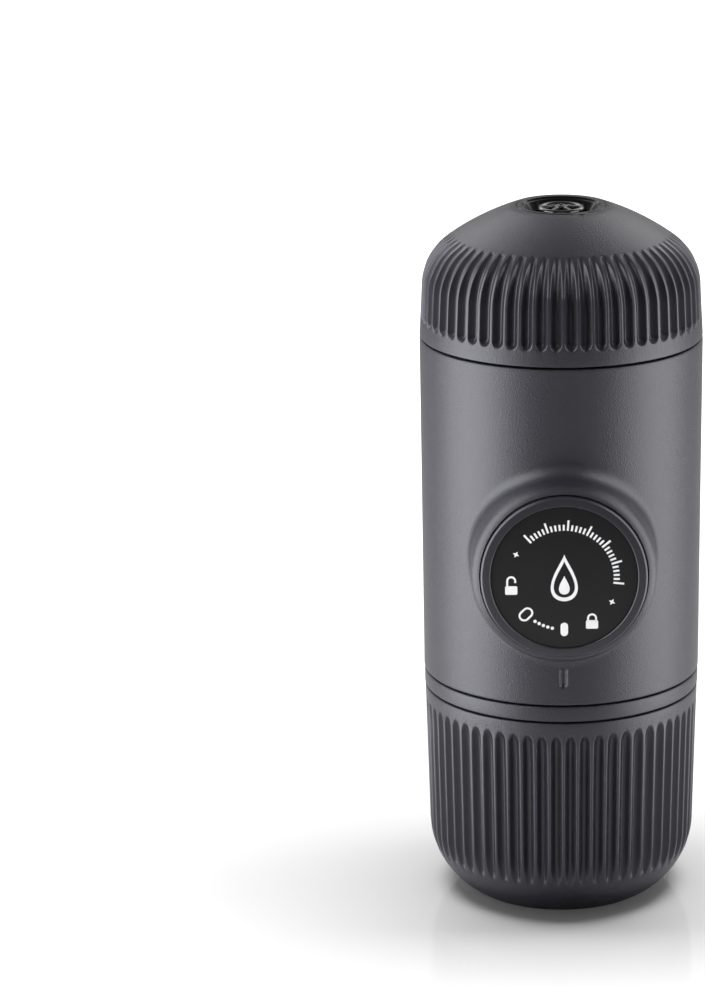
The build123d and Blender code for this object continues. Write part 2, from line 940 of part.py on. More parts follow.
with BuildPart() as tank_shell:
    with BuildSketch(section):
        with BuildLine():
            add(dome_side)
            add(dome_shoulder)
            add(dome_cone)
            inner_side = Line(
                inside(dome_side, tank_floor_share, tank_wall),
                inside(dome_side, 1, tank_wall),
            )
            inner_shoulder = TangentArc(
                inner_side @ 1, inside(dome_shoulder, 1, tank_wall), tangent=dome_side % 1
            )
            inner_cone = TangentArc(
                inner_shoulder @ 1,
                inside(dome_cone, 1, tank_wall),
                tangent=dome_shoulder % 1,
            )
            Line(inner_cone @ 1, dome_cone @ 1)
            Polyline(
                dome_side @ 0,
                (neck_radius, dome_bottom),
                (neck_radius, neck_bottom),
                (neck_bore, neck_bottom),
                (neck_bore, (inner_side @ 0).Y),
                inner_side @ 0,
            )
        make_face()
    revolve(axis=Axis.Z)
    seam_edges = tank_shell.edges().filter_by_position(Axis.Z, dome_bottom, dome_bottom)
    chamfer(seam_edges.sort_by(SortBy.RADIUS)[-1], edge_bevel)
    with PolarLocations(0, flute_count):
        add(tank_flute, mode=Mode.SUBTRACT)

    # Collar and stepped seat for the air vent
    with BuildSketch(level(crown_top - crown_collar_depth)):
        Circle(crown_collar_radius)
    extrude(amount=crown_collar_depth - vent_flange_height)
    with BuildSketch(section):
        outline(
            (0, crown_top - crown_collar_depth),
            (vent_bore, crown_top - crown_collar_depth),
            (vent_bore, vent_seal_bottom),
            (vent_seat_radius, vent_seal_bottom),
            (vent_seat_radius, vent_flange_bottom),
            (vent_flange_radius + press_clearance, vent_flange_bottom),
            (vent_flange_radius + press_clearance, crown_top),
            (0, crown_top),
        )
    revolve(axis=Axis.Z, mode=Mode.SUBTRACT)
save(tank_shell, "tank_shell")

with BuildPart() as tank_seal:
    with BuildSketch(section):
        ring_profile(
            neck_bore + press_clearance,
            neck_radius - press_clearance,
            tank_seal_bottom,
            tank_seal_bottom + tank_seal_height,
        )
    revolve(axis=Axis.Z)
save(tank_seal, "tank_seal")

# ---------------------------------------------------------------- air vent

with BuildPart() as vent_housing:
    with BuildSketch(section):
        outline(
            (valve_stem_radius + press_clearance, vent_bottom),
            (vent_barrel_radius, vent_bottom),
            (vent_barrel_radius, vent_flange_bottom),
            (vent_flange_radius, vent_flange_bottom),
            (vent_flange_radius, crown_top),
            (vent_step_radius, crown_top),
            (vent_step_radius, crown_top - vent_step_depth),
            (vent_well_radius, crown_top - vent_step_depth),
            (vent_well_radius, vent_floor),
            (valve_stem_radius + press_clearance, vent_floor),
        )
    revolve(axis=Axis.Z)
    with BuildSketch(level(vent_bottom)):
        with PolarLocations(*vent_hole_ring):
            Circle(vent_hole_radius)
    extrude(amount=vent_floor - vent_bottom, mode=Mode.SUBTRACT)
save(vent_housing, "vent_housing")

with BuildPart() as vent_grille:
    with BuildSketch(level(vent_floor)):
        Circle(wheel_radius)
        Circle(wheel_radius - wheel_rim, mode=Mode.SUBTRACT)
    extrude(amount=wheel_top - vent_floor)
    with BuildSketch(level(wheel_top - wheel_spoke_height)):
        for spoke in range(wheel_spoke_count):
            with Locations(Rotation(0, 0, spoke * 360 / wheel_spoke_count)):
                Rectangle(
                    wheel_radius - wheel_rim / 2,
                    wheel_spoke_width,
                    align=(Align.MIN, Align.CENTER),
                )
    extrude(amount=wheel_spoke_height)
    with BuildSketch(level(wheel_top - wheel_spoke_height)):
        Circle(wheel_hub_radius)
    extrude(amount=wheel_spoke_height)
save(vent_grille, "vent_grille")

with BuildPart() as vent_valve:
    with BuildSketch(section):
        outline(
            (0, valve_disc_top - valve_disc_thickness),
            (valve_disc_radius, valve_disc_top - valve_disc_thickness),
            (valve_disc_radius, valve_disc_top),
            (valve_stem_radius, valve_disc_top),
            (valve_stem_radius, bead_bottom),
            (valve_bead_radius, bead_bottom),
            (valve_bead_radius, bead_bottom + valve_bead_height),
            (0, bead_bottom + valve_bead_height),
        )
    revolve(axis=Axis.Z)
save(vent_valve, "vent_valve")

with BuildPart() as vent_seal:
    with BuildSketch(section):
        ring_profile(
            vent_barrel_radius + press_clearance,
            vent_seat_radius - press_clearance,
            vent_seal_bottom + press_clearance,
            vent_flange_bottom - press_clearance,
        )
    revolve(axis=Axis.Z)
save(vent_seal, "vent_seal")
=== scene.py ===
"""Looks of a handheld manual espresso maker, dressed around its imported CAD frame.

Lengths are in millimetres unless a name ends in _m. The origin is the centre of the foot, +Z runs
up the barrel and the pump button faces -Y.
"""

import json
import logging
import math
from dataclasses import dataclass, field
from enum import Enum
from typing import Sequence

import bmesh
import bpy
import numpy as np
from mathutils import Matrix, Vector
from numpy.typing import NDArray


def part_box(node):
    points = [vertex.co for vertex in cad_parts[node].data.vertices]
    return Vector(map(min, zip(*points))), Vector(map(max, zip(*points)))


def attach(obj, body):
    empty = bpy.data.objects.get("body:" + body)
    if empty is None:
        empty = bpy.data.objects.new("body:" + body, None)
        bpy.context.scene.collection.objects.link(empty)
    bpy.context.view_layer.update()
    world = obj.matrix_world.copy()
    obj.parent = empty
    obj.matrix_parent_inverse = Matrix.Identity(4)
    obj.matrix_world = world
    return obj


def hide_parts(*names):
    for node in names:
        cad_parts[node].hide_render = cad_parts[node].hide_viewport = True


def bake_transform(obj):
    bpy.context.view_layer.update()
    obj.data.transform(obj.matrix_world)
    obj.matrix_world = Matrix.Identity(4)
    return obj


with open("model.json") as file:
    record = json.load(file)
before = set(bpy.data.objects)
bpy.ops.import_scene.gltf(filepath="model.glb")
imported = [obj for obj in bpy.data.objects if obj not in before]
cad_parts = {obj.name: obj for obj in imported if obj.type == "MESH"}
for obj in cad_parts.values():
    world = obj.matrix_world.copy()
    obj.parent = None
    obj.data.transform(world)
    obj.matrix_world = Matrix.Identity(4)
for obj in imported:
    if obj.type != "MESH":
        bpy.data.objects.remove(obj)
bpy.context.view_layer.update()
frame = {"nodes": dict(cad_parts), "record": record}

Array = NDArray[np.float64]
Colour = tuple[float, float, float]
Place = tuple[float, float, float]

log = logging.getLogger("espresso_maker")
MM = 0.001
TURN = 2 * math.pi
WELD_M = 1e-6
# Radius or share too small to count.
HAIR = 1e-6
# Gap between the stacked outer shells, and thickness of the flange of the air vent.
SEAM = 0.45
VENT_FLANGE = 1.5


class Slot(Enum):
    """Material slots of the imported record."""

    SHELL = "grained_grey_plastic"
    BLACK = "black_plastic"
    INNER = "inner_plastic"
    SIEVE = "perforated_steel"
    STEEL = "spring_and_screw_steel"
    SILICONE = "silicone"


BODY_OF = {
    node: body for body, nodes in frame["record"]["behaviour"]["bodies"].items() for node in nodes
}


# ---------------------------------------------------------------- points and outlines


@dataclass(frozen=True)
class Axis:
    """Line that round pieces turn about, with the two directions square to it."""

    origin: Place
    along: Place
    right: Place
    up: Place

    def place(
        self, radius: Array | float, angle: Array | float, height: Array | float
    ) -> Array:
        """Points around the axis.

        A point is origin + radius (right sin(angle) + up cos(angle)) + along height.

        Args:
            radius: Distances from the axis.
            angle: Turns from the up direction towards the right one, in radians.
            height: Distances along the axis from its origin.

        Returns:
            Points with the broadcast shape of the three, and x, y, z last.
        """
        radius, angle, height = (a[..., None] for a in np.broadcast_arrays(radius, angle, height))
        square = np.sin(angle) * np.array(self.right) + np.cos(angle) * np.array(self.up)
        return np.array(self.origin) + radius * square + height * np.array(self.along)

    def turn(self, section: Array, angle: Array) -> Array:
        """Grid with a row for each (radius, height) point of a section, a column per angle."""
        return self.place(section[:, None, 0], angle, section[:, None, 1])


def corners_of(node: str) -> tuple[Array, Array]:
    """Lowest and highest corner of a CAD node, in millimetres."""
    low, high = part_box(node)
    return np.array(low) / MM, np.array(high) / MM


DISC_LOW, DISC_HIGH = corners_of("knob_disc")
BARREL_AXIS = Axis((0, 0, 0), (0, 0, 1), (1, 0, 0), (0, -1, 0))
PUMP_AXIS = Axis((0, 0, (DISC_LOW[2] + DISC_HIGH[2]) / 2), (0, -1, 0), (1, 0, 0), (0, 0, 1))


def eased(share: Array) -> Array:
    """Smooth step: 3 t^2 - 2 t^3 of a share t held between 0 and 1."""
    share = np.clip(share, 0, 1)
    return share * share * (3 - 2 * share)


def between(start: Array | float, end: Array | float, share: Array | float) -> Array | float:
    """What lies a share of the way from start to end."""
    return start + (end - start) * share


def swung(first: Array, second: Array, opening: Array | float, share: Array) -> Array:
    """Spokes from first to second about their centre, a share t of the opening w between them.

    A spoke is (first sin((1 - t) w) + second sin(t w)) / sin(w).
    """
    spoke = np.sin((1 - share) * opening) * first + np.sin(share * opening) * second
    return spoke / np.sin(opening)


def soft_floor(value: Array, softness: float) -> Array:
    """Value where it is above 0 and 0 below, rounded off: (v + sqrt(v^2 + k^2)) / 2."""
    return (value + np.sqrt(value * value + softness * softness)) / 2


def spaced(*stops: tuple[float, int]) -> Array:
    """Rising values with chosen density.

    Args:
        stops: Pairs of a value and the number of steps that lead up to it from the one before.

    Returns:
        The values, each run evenly spaced.
    """
    runs = [np.array([stops[0][0]])]
    for (start, _), (end, steps) in zip(stops, stops[1:]):
        runs.append(np.linspace(start, end, steps + 1)[1:])
    return np.concatenate(runs)


def arc_centre(start: Array, heading: Array, end: Array) -> tuple[Array, float]:
    """Circle that leaves start along heading and passes through end.

    With chord c and the heading's left normal n, the signed radius is c.c / (2 c.n), and the
    centre lies that far along n.
    """
    chord = end - start
    normal = np.array([-heading[1], heading[0]])
    radius = float(chord @ chord / (2 * chord @ normal))
    return start + normal * radius, radius


def tangent_arc(start: Array, heading: Array, end: Array, steps: int) -> tuple[Array, Array]:
    """Arc that leaves start along heading and ends at end.

    It turns by twice the angle from the heading to the chord.

    Returns:
        The points after the start, and the heading at the end.
    """
    centre, _ = arc_centre(start, heading, end)
    chord = end - start
    sweep = 2 * math.atan2(heading[0] * chord[1] - heading[1] * chord[0], heading @ chord)
    turns = np.linspace(0, sweep, steps + 1)[1:]
    spoke = start - centre
    points = centre + np.stack(
        [
            spoke[0] * np.cos(turns) - spoke[1] * np.sin(turns),
            spoke[0] * np.sin(turns) + spoke[1] * np.cos(turns),
        ],
        axis=-1,
    )
    across = np.array([-heading[1], heading[0]])
    return points, heading * math.cos(sweep) + across * math.sin(sweep)


class Outline:
    """Smooth open outline in the (radius, height) plane, known at closely spaced points."""

    def __init__(self, points: Array) -> None:
        """Measure the outline and find its normals, a quarter turn right of its headings."""
        steps = np.hypot(*np.diff(points, axis=0).T)
        self.points = points
        self.run = np.concatenate([[0.0], np.cumsum(steps)])
        headings = np.gradient(points, self.run, axis=0)
        headings /= np.linalg.norm(headings, axis=1, keepdims=True)
        self.inward = np.stack([headings[:, 1], -headings[:, 0]], axis=-1)
        if (self.inward * points)[:, 0].sum() > 0:
            self.inward = -self.inward

    def at(self, distance: Array) -> tuple[Array, Array]:
        """Points and inward normals at distances along the outline."""
        place = np.stack([np.interp(distance, self.run, c) for c in self.points.T], axis=-1)
        normal = np.stack([np.interp(distance, self.run, c) for c in self.inward.T], axis=-1)
        return place, normal / np.linalg.norm(normal, axis=-1, keepdims=True)


def rounded(corners: Sequence[tuple[float, float, float]], steps: int = 4) -> Array:
    """Closed outline with an arc at every corner.

    At a corner with legs u and v, the arc of radius r touches both legs r / tan(half angle) from
    the corner, and its centre is r / sin(half angle) from it along u + v.

    Args:
        corners: Radius, height and corner radius of each corner.
        steps: Steps of each arc.

    Returns:
        Points around the outline.
    """
    points = []
    count = len(corners)
    for i, (across, high, radius) in enumerate(corners):
        corner = np.array([across, high])
        if radius <= 0:
            points.append(corner[None])
            continue
        legs = [np.array(corners[(i + k) % count][:2]) - corner for k in (-1, 1)]
        back, ahead = (leg / np.linalg.norm(leg) for leg in legs)
        half = math.acos(float(np.clip(back @ ahead, -1, 1))) / 2
        bisector = (back + ahead) / np.linalg.norm(back + ahead)
        centre = corner + bisector * radius / math.sin(half)
        start = corner + back * radius / math.tan(half) - centre
        end = corner + ahead * radius / math.tan(half) - centre
        share = np.linspace(0, 1, steps + 1)[:, None]
        opening = math.acos(float(np.clip(start @ end / radius**2, -1, 1)))
        points.append(centre + swung(start, end, opening, share))
    return np.concatenate(points)


def block(
    inner: float,
    outer: float,
    low: float,
    high: float,
    inner_round: float = 0.0,
    outer_round: float = 0.0,
) -> Array:
    """Rectangular outline, with a corner radius for its inner and one for its outer side."""
    return rounded(
        [
            (inner, low, inner_round),
            (outer, low, outer_round),
            (outer, high, outer_round),
            (inner, high, inner_round),
        ]
    )


def star(count: int, tip: float, waist: float) -> Array:
    """Outline round the origin, its points at two radii in turn. Equal radii give a circle."""
    turn = np.linspace(0, TURN, count, endpoint=False)
    radius = np.where(np.arange(count) % 2 == 0, tip, waist)
    return radius[:, None] * np.stack([np.cos(turn), np.sin(turn)], axis=-1)


def rounded_edge(outer: float, inner: float, height: float, radius: float) -> Array:
    """Quarter arcs over a rim, from just inside its outer wall to its inner wall."""
    turn = np.linspace(0, math.pi / 2, 5)
    level, side, rise = height - radius, radius * np.cos(turn), radius * np.sin(turn)
    first = np.stack([outer - radius + side, level + rise], axis=-1)
    second = np.stack([inner + radius - rise, level + side], axis=-1)
    return np.concatenate([first[1:], second])


def eased_edge(
    radius: float, level: float, edge: float, inward: int = 1
) -> list[tuple[float, float]]:
    """Soft corner from an outer wall to an end face.

    Args:
        radius: Radius of the wall.
        level: Height of the end face.
        edge: Size of the corner.
        inward: 1 if the wall stands above the face, -1 if it hangs below.

    Returns:
        Radius and height of four points, from the wall to the face.
    """
    curve = ((0.0, 1.0), (0.1, 0.45), (0.45, 0.1), (1.0, 0.0))
    return [(radius - across * edge, level + inward * rise * edge) for across, rise in curve]


# ---------------------------------------------------------------- meshes


class Skin:
    """Sheets of points in millimetres that together close one surface."""

    def __init__(self, name: str) -> None:
        """Start an empty surface."""
        self.name = name
        self.points: list[Array] = []
        self.values: list[Array] = []
        self.quads: list[Array] = []
        self.triangles: list[Array] = []
        self.count = 0

    def _keep(self, points: Array, smooth: Array | float) -> None:
        """Store points, with how smooth the finish is at each."""
        self.points.append(points)
        self.values.append(np.broadcast_to(smooth, len(points)))
        self.count += len(points)

    def add_grid(
        self,
        grid: Array,
        wrap_rows: bool = False,
        wrap_columns: bool = False,
        smooth: Array | float = 0.0,
    ) -> None:
        """Add a sheet of quads over grid[row, column].

        Args:
            grid: Points, rows by columns by x, y, z.
            wrap_rows: Join the last row to the first.
            wrap_columns: Join the last column to the first.
            smooth: 1 where the finish has no grain, 0 where it is fully grained.
        """
        rows, columns = grid.shape[:2]
        index = np.arange(rows * columns).reshape(rows, columns) + self.count
        if wrap_rows:
            index = np.vstack([index, index[:1]])
        if wrap_columns:
            index = np.hstack([index, index[:, :1]])
        ring = (index[:-1, :-1], index[:-1, 1:], index[1:, 1:], index[1:, :-1])
        self.quads.append(np.stack(ring, axis=-1).reshape(-1, 4))
        self._keep(grid.reshape(-1, 3), np.ravel(smooth) if np.ndim(smooth) else smooth)

    def add_fan(self, ring: Array, smooth: float = 0.0) -> None:
        """Close a ring of points with triangles to their mean."""
        rim = np.arange(len(ring)) + self.count
        hub = np.full(len(ring), self.count + len(ring))
        self.triangles.append(np.stack([rim, np.roll(rim, -1), hub], axis=-1))
        self._keep(np.vstack([ring, ring.mean(axis=0)]), smooth)

    def add_lathe(
        self, section: Array, columns: int, axis: Axis = BARREL_AXIS, smooth: float = 0.0
    ) -> None:
        """Turn a section about an axis.

        A section that starts and ends on the axis is closed there with fans.

        Args:
            section: Radius and height of each point, in order.
            columns: Steps of a full turn.
            axis: The line to turn about.
            smooth: Grain switch, as in add_grid.
        """
        solid = abs(section[0, 0]) < HAIR and abs(section[-1, 0]) < HAIR
        wall = section[1:-1] if solid else section
        angle = np.linspace(0, TURN, columns, endpoint=False)
        grid = axis.turn(wall, angle)
        self.add_grid(grid, wrap_rows=not solid, wrap_columns=True, smooth=smooth)
        if solid:
            self.add_fan(grid[0], smooth)
            self.add_fan(grid[-1], smooth)

    def add_tube(self, path: Array, radius: Array | float, sides: int = 12) -> None:
        """Carry a circle along a path and close both ends.

        Each ring lies square to the path's heading t, on the directions a = t x guide and
        b = t x a, at path + radius (a cos(w) + b sin(w)).
        """
        heading = np.gradient(path, axis=0)
        heading /= np.linalg.norm(heading, axis=1, keepdims=True)
        guide = np.eye(3)[np.argmin(np.abs(heading).max(axis=0))]
        side = np.cross(heading, guide)
        side /= np.linalg.norm(side, axis=1, keepdims=True)
        rise = np.cross(heading, side)
        turn = np.linspace(0, TURN, sides, endpoint=False)[None, :, None]
        size = np.broadcast_to(radius, len(path))[:, None, None]
        grid = path[:, None] + size * (
            side[:, None] * np.cos(turn) + rise[:, None] * np.sin(turn)
        )
        self.add_grid(grid, wrap_columns=True)
        self.add_fan(grid[0])
        self.add_fan(grid[-1])

    def build(self, sharp_deg: float = 38.0) -> bpy.types.Object:
        """Make the mesh, weld its sheets, turn its faces outwards and smooth it."""
        mesh = bpy.data.meshes.new(self.name)
        quads = np.concatenate(self.quads) if self.quads else np.empty((0, 4), int)
        triangles = np.concatenate(self.triangles) if self.triangles else np.empty((0, 3), int)
        corners = np.concatenate([quads.ravel(), triangles.ravel()]).astype(np.int32)
        starts = np.concatenate(
            [4 * np.arange(len(quads)), 4 * len(quads) + 3 * np.arange(len(triangles))]
        ).astype(np.int32)
        points = np.concatenate(self.points) * MM
        mesh.vertices.add(len(points))
        mesh.vertices.foreach_set("co", points.astype(np.float32).ravel())
        mesh.loops.add(len(corners))
        mesh.loops.foreach_set("vertex_index", corners)
        mesh.polygons.add(len(starts))
        mesh.polygons.foreach_set("loop_start", starts)
        mesh.update(calc_edges=True)
        grain = mesh.attributes.new("smooth_finish", "FLOAT", "POINT")
        grain.data.foreach_set("value", np.concatenate(self.values).astype(np.float32))

        sheet = bmesh.new()
        sheet.from_mesh(mesh)
        bmesh.ops.remove_doubles(sheet, verts=sheet.verts, dist=WELD_M)
        bmesh.ops.recalc_face_normals(sheet, faces=sheet.faces)
        sheet.to_mesh(mesh)
        sheet.free()
        mesh.polygons.foreach_set("use_smooth", np.ones(len(mesh.polygons), bool))
        mesh.set_sharp_from_angle(angle=math.radians(sharp_deg))
        piece = bpy.data.objects.new(self.name, mesh)
        bpy.context.scene.collection.objects.link(piece)
        return piece


def turned(
    name: str,
    section: Array,
    columns: int = 192,
    axis: Axis = BARREL_AXIS,
    smooth: float = 0.0,
) -> Skin:
    """New skin with one turned section, given as in Skin.add_lathe."""
    skin = Skin(name)
    skin.add_lathe(section, columns, axis, smooth)
    return skin


# ---------------------------------------------------------------- finishes


class Nodes:
    """Node tree with short calls to add and join nodes."""

    def __init__(self, tree: bpy.types.NodeTree) -> None:
        """Work on a tree that exists."""
        self.tree = tree

    def add(self, kind: str, **settings: str | float | tuple[float, ...]) -> bpy.types.Node:
        """Add a node.

        Args:
            kind: Blender's name of the node's type, after ShaderNode.
            settings: Properties of the node in lower case, and inputs with a capital, with
                underscores for spaces.

        Returns:
            The node.
        """
        node = self.tree.nodes.new(f"ShaderNode{kind}")
        for name, value in settings.items():
            if name[0].isupper():
                node.inputs[name.replace("_", " ")].default_value = value
            else:
                setattr(node, name, value)
        return node

    def join(self, source: bpy.types.NodeSocket, target: bpy.types.NodeSocket) -> None:
        """Link an output to an input."""
        self.tree.links.new(source, target)

    def reckon(
        self,
        operation: str,
        first: bpy.types.NodeSocket | float,
        second: bpy.types.NodeSocket | float,
    ) -> bpy.types.NodeSocket:
        """Join two values by one Math operation."""
        node = self.add("Math", operation=operation)
        for socket, value in zip(node.inputs, (first, second)):
            if isinstance(value, bpy.types.NodeSocket):
                self.join(value, socket)
            else:
                socket.default_value = value
        return node.outputs["Value"]

    def spread(
        self, source: bpy.types.NodeSocket, low: float, high: float
    ) -> bpy.types.NodeSocket:
        """Map a 0 to 1 value to a range."""
        node = self.add("MapRange", To_Min=low, To_Max=high)
        self.join(source, node.inputs["Value"])
        return node.outputs["Result"]

    def ramp(
        self, source: bpy.types.NodeSocket, start: float, end: float, low: float, high: float
    ) -> bpy.types.NodeSocket:
        """Smooth step from low where the source is at start, to high where it is at end."""
        node = self.add(
            "MapRange", interpolation_type="SMOOTHSTEP",
            From_Min=start, From_Max=end, To_Min=low, To_Max=high,
        )
        self.join(source, node.inputs["Value"])
        return node.outputs["Result"]


class Shader(Nodes):
    """Node tree of one material round its Principled shader."""

    def __init__(self, name: str) -> None:
        """Start a material."""
        self.material = bpy.data.materials.new(name)
        self.material.use_nodes = True
        super().__init__(self.material.node_tree)
        self.surface = self.tree.nodes["Principled BSDF"]

    def set(self, **sockets: float | tuple[float, ...] | bpy.types.NodeSocket) -> None:
        """Set or join inputs of the Principled shader, underscores standing for spaces."""
        for name, value in sockets.items():
            socket = self.surface.inputs[name.replace("_", " ")]
            if isinstance(value, bpy.types.NodeSocket):
                self.join(value, socket)
            else:
                socket.default_value = value

    def object_place(self) -> bpy.types.NodeSocket:
        """Coordinates that stay with the piece, in metres."""
        return self.add("TexCoord").outputs["Object"]

    def noise(
        self, place: bpy.types.NodeSocket, size: float, detail: float, output: str = "Fac"
    ) -> bpy.types.NodeSocket:
        """Cloudy noise with features of a size in millimetres, from 0 to 1."""
        node = self.add("TexNoise", Scale=1 / (size * MM), Detail=detail)
        self.join(place, node.inputs["Vector"])
        return node.outputs[output]

    def coat(
        self,
        pattern: bpy.types.NodeSocket,
        colour: Colour,
        contrast: tuple[float, float],
        roughness: tuple[float, float] | None = None,
    ) -> None:
        """Let a pattern from 0 to 1 vary the colour, and the roughness too if it is given.

        Args:
            pattern: The pattern.
            colour: The middle colour.
            contrast: Factors of that colour where the pattern is 0 and 1.
            roughness: Roughness where the pattern is 0 and 1.
        """
        node = self.add("Mix", data_type="RGBA")
        # A Mix node has sockets for every type of value. The colours are inputs 6 and 7, output 2.
        for socket, factor in zip(node.inputs[6:8], contrast):
            socket.default_value = (*(factor * part for part in colour), 1)
        self.join(pattern, node.inputs["Factor"])
        self.set(Base_Color=node.outputs[2])
        if roughness:
            self.set(Roughness=self.spread(pattern, *roughness))

    def bump(
        self,
        height: bpy.types.NodeSocket,
        depth: float,
        strength: bpy.types.NodeSocket | None = None,
    ) -> None:
        """Raise the surface by a height from 0 to 1, times a depth in millimetres."""
        node = self.add("Bump", Distance=depth * MM, Strength=1.0)
        self.join(height, node.inputs["Height"])
        if strength:
            self.join(strength, node.inputs["Strength"])
        self.set(Normal=node.outputs["Normal"])


@dataclass(frozen=True)
class GrainedPlastic:
    """Moulded plastic with a fine leather grain that fades out where the piece is smooth."""

    name: str = "grained_grey"
    colour: Colour = (0.0138, 0.0134, 0.0186)
    tint: Colour = (0.93, 0.94, 1.0)
    mottle: float = 0.07
    mottle_size: float = 9.0
    roughness: tuple[float, float] = (0.38, 0.46)
    smooth_roughness: float = 0.36
    grain_size: float = 0.31
    grain_depth: float = 0.043
    grain_softness: float = 0.35
    grain_wobble: float = 0.8
    least_grain: float = 0.12
    pore_size: float = 0.16
    pore_share: float = 0.5

    def material(self) -> bpy.types.Material:
        """Cells with noisy edges for the grain, a fine noise for pores, and a slow mottle."""
        shader = Shader(self.name)
        place = shader.object_place()
        smooth = shader.add("Attribute", attribute_name="smooth_finish").outputs["Fac"]
        grained = shader.reckon("SUBTRACT", 1.0, smooth)

        cells = shader.add(
            "TexVoronoi", feature="SMOOTH_F1",
            Scale=1 / (self.grain_size * MM), Smoothness=self.grain_softness,
        )
        warp = shader.add("VectorMath", operation="MULTIPLY_ADD")
        shader.join(shader.noise(place, self.grain_size, 2.0, "Color"), warp.inputs[0])
        warp.inputs[1].default_value = (self.grain_wobble * self.grain_size * MM,) * 3
        shader.join(place, warp.inputs[2])
        shader.join(warp.outputs["Vector"], cells.inputs["Vector"])
        pores = shader.noise(place, self.pore_size, 3.0)
        height = shader.reckon(
            "ADD", cells.outputs["Distance"], shader.reckon("MULTIPLY", pores, self.pore_share)
        )
        shader.bump(height, self.grain_depth, shader.spread(grained, self.least_grain, 1.0))

        clouds = shader.noise(place, self.mottle_size, 3.0)
        shader.coat(clouds, self.colour, (1 - self.mottle, 1 + self.mottle))
        shader.set(Specular_Tint=(*self.tint, 1))
        rough = shader.spread(pores, *self.roughness)
        mixed = shader.add("Mix", B=self.smooth_roughness)
        shader.join(rough, mixed.inputs["A"])
        shader.join(smooth, mixed.inputs["Factor"])
        shader.set(Roughness=mixed.outputs["Result"])
        return shader.material


@dataclass(frozen=True)
class PlainPlastic:
    """Moulded plastic with a faint orange peel."""

    name: str
    colour: Colour
    roughness: tuple[float, float]
    gloss: float = 0.5
    contrast: tuple[float, float] = (0.9, 1.1)
    peel_size: float = 0.5
    peel_depth: float = 0.004
    mottle_size: float = 6.0

    def material(self) -> bpy.types.Material:
        """Noise for the peel and for small changes of gloss."""
        shader = Shader(self.name)
        shader.set(Specular_IOR_Level=self.gloss)
        place = shader.object_place()
        peel = shader.noise(place, self.peel_size, 3.0)
        clouds = shader.noise(place, self.mottle_size, 2.0)
        shader.bump(peel, self.peel_depth)
        shader.coat(clouds, self.colour, self.contrast, self.roughness)
        return shader.material


@dataclass(frozen=True)
class Steel:
    """Stainless steel with fine drawn lines round its axis."""

    name: str
    colour: Colour = (0.62, 0.61, 0.60)
    roughness: tuple[float, float] = (0.2, 0.34)
    contrast: tuple[float, float] = (0.88, 1.08)
    line_size: float = 0.25
    line_depth: float = 0.003
    stretch: float = 0.05

    def material(self) -> bpy.types.Material:
        """Noise squeezed along the height gives lines that run round the barrel."""
        shader = Shader(self.name)
        shader.set(Metallic=1.0)
        squeeze = shader.add("Mapping", Scale=(self.stretch, self.stretch, 1.0))
        shader.join(shader.object_place(), squeeze.inputs["Vector"])
        lines = shader.noise(squeeze.outputs["Vector"], self.line_size, 4.0)
        shader.coat(lines, self.colour, self.contrast, self.roughness)
        shader.bump(lines, self.line_depth)
        return shader.material


@dataclass(frozen=True)
class Silicone:
    """Soft translucent rubber."""

    name: str = "silicone_grey"
    colour: Colour = (0.42, 0.42, 0.41)
    contrast: tuple[float, float] = (0.92, 1.06)
    roughness: float = 0.45
    milkiness: float = 0.25
    depth: float = 0.6
    cloud_size: float = 2.0
    relief: float = 0.01

    def material(self) -> bpy.types.Material:
        """Cloudy colour under a dull skin, with some light let through."""
        shader = Shader(self.name)
        shader.set(
            Roughness=self.roughness,
            Subsurface_Weight=self.milkiness,
            Subsurface_Radius=(self.depth * MM,) * 3,
        )
        clouds = shader.noise(shader.object_place(), self.cloud_size, 3.0)
        shader.coat(clouds, self.colour, self.contrast)
        shader.bump(clouds, self.relief)
        return shader.material


@dataclass(frozen=True)
class PadInk:
    """Opaque printed ink, a little worn thin."""

    name: str = "white_print"
    colour: Colour = (0.80, 0.80, 0.81)
    contrast: tuple[float, float] = (0.9, 1.06)
    roughness: tuple[float, float] = (0.4, 0.6)
    speckle_size: float = 0.12

    def material(self) -> bpy.types.Material:
        """Fine noise breaks the ink's colour and gloss."""
        shader = Shader(self.name)
        speckle = shader.noise(shader.object_place(), self.speckle_size, 2.0)
        shader.coat(speckle, self.colour, self.contrast, self.roughness)
        return shader.material


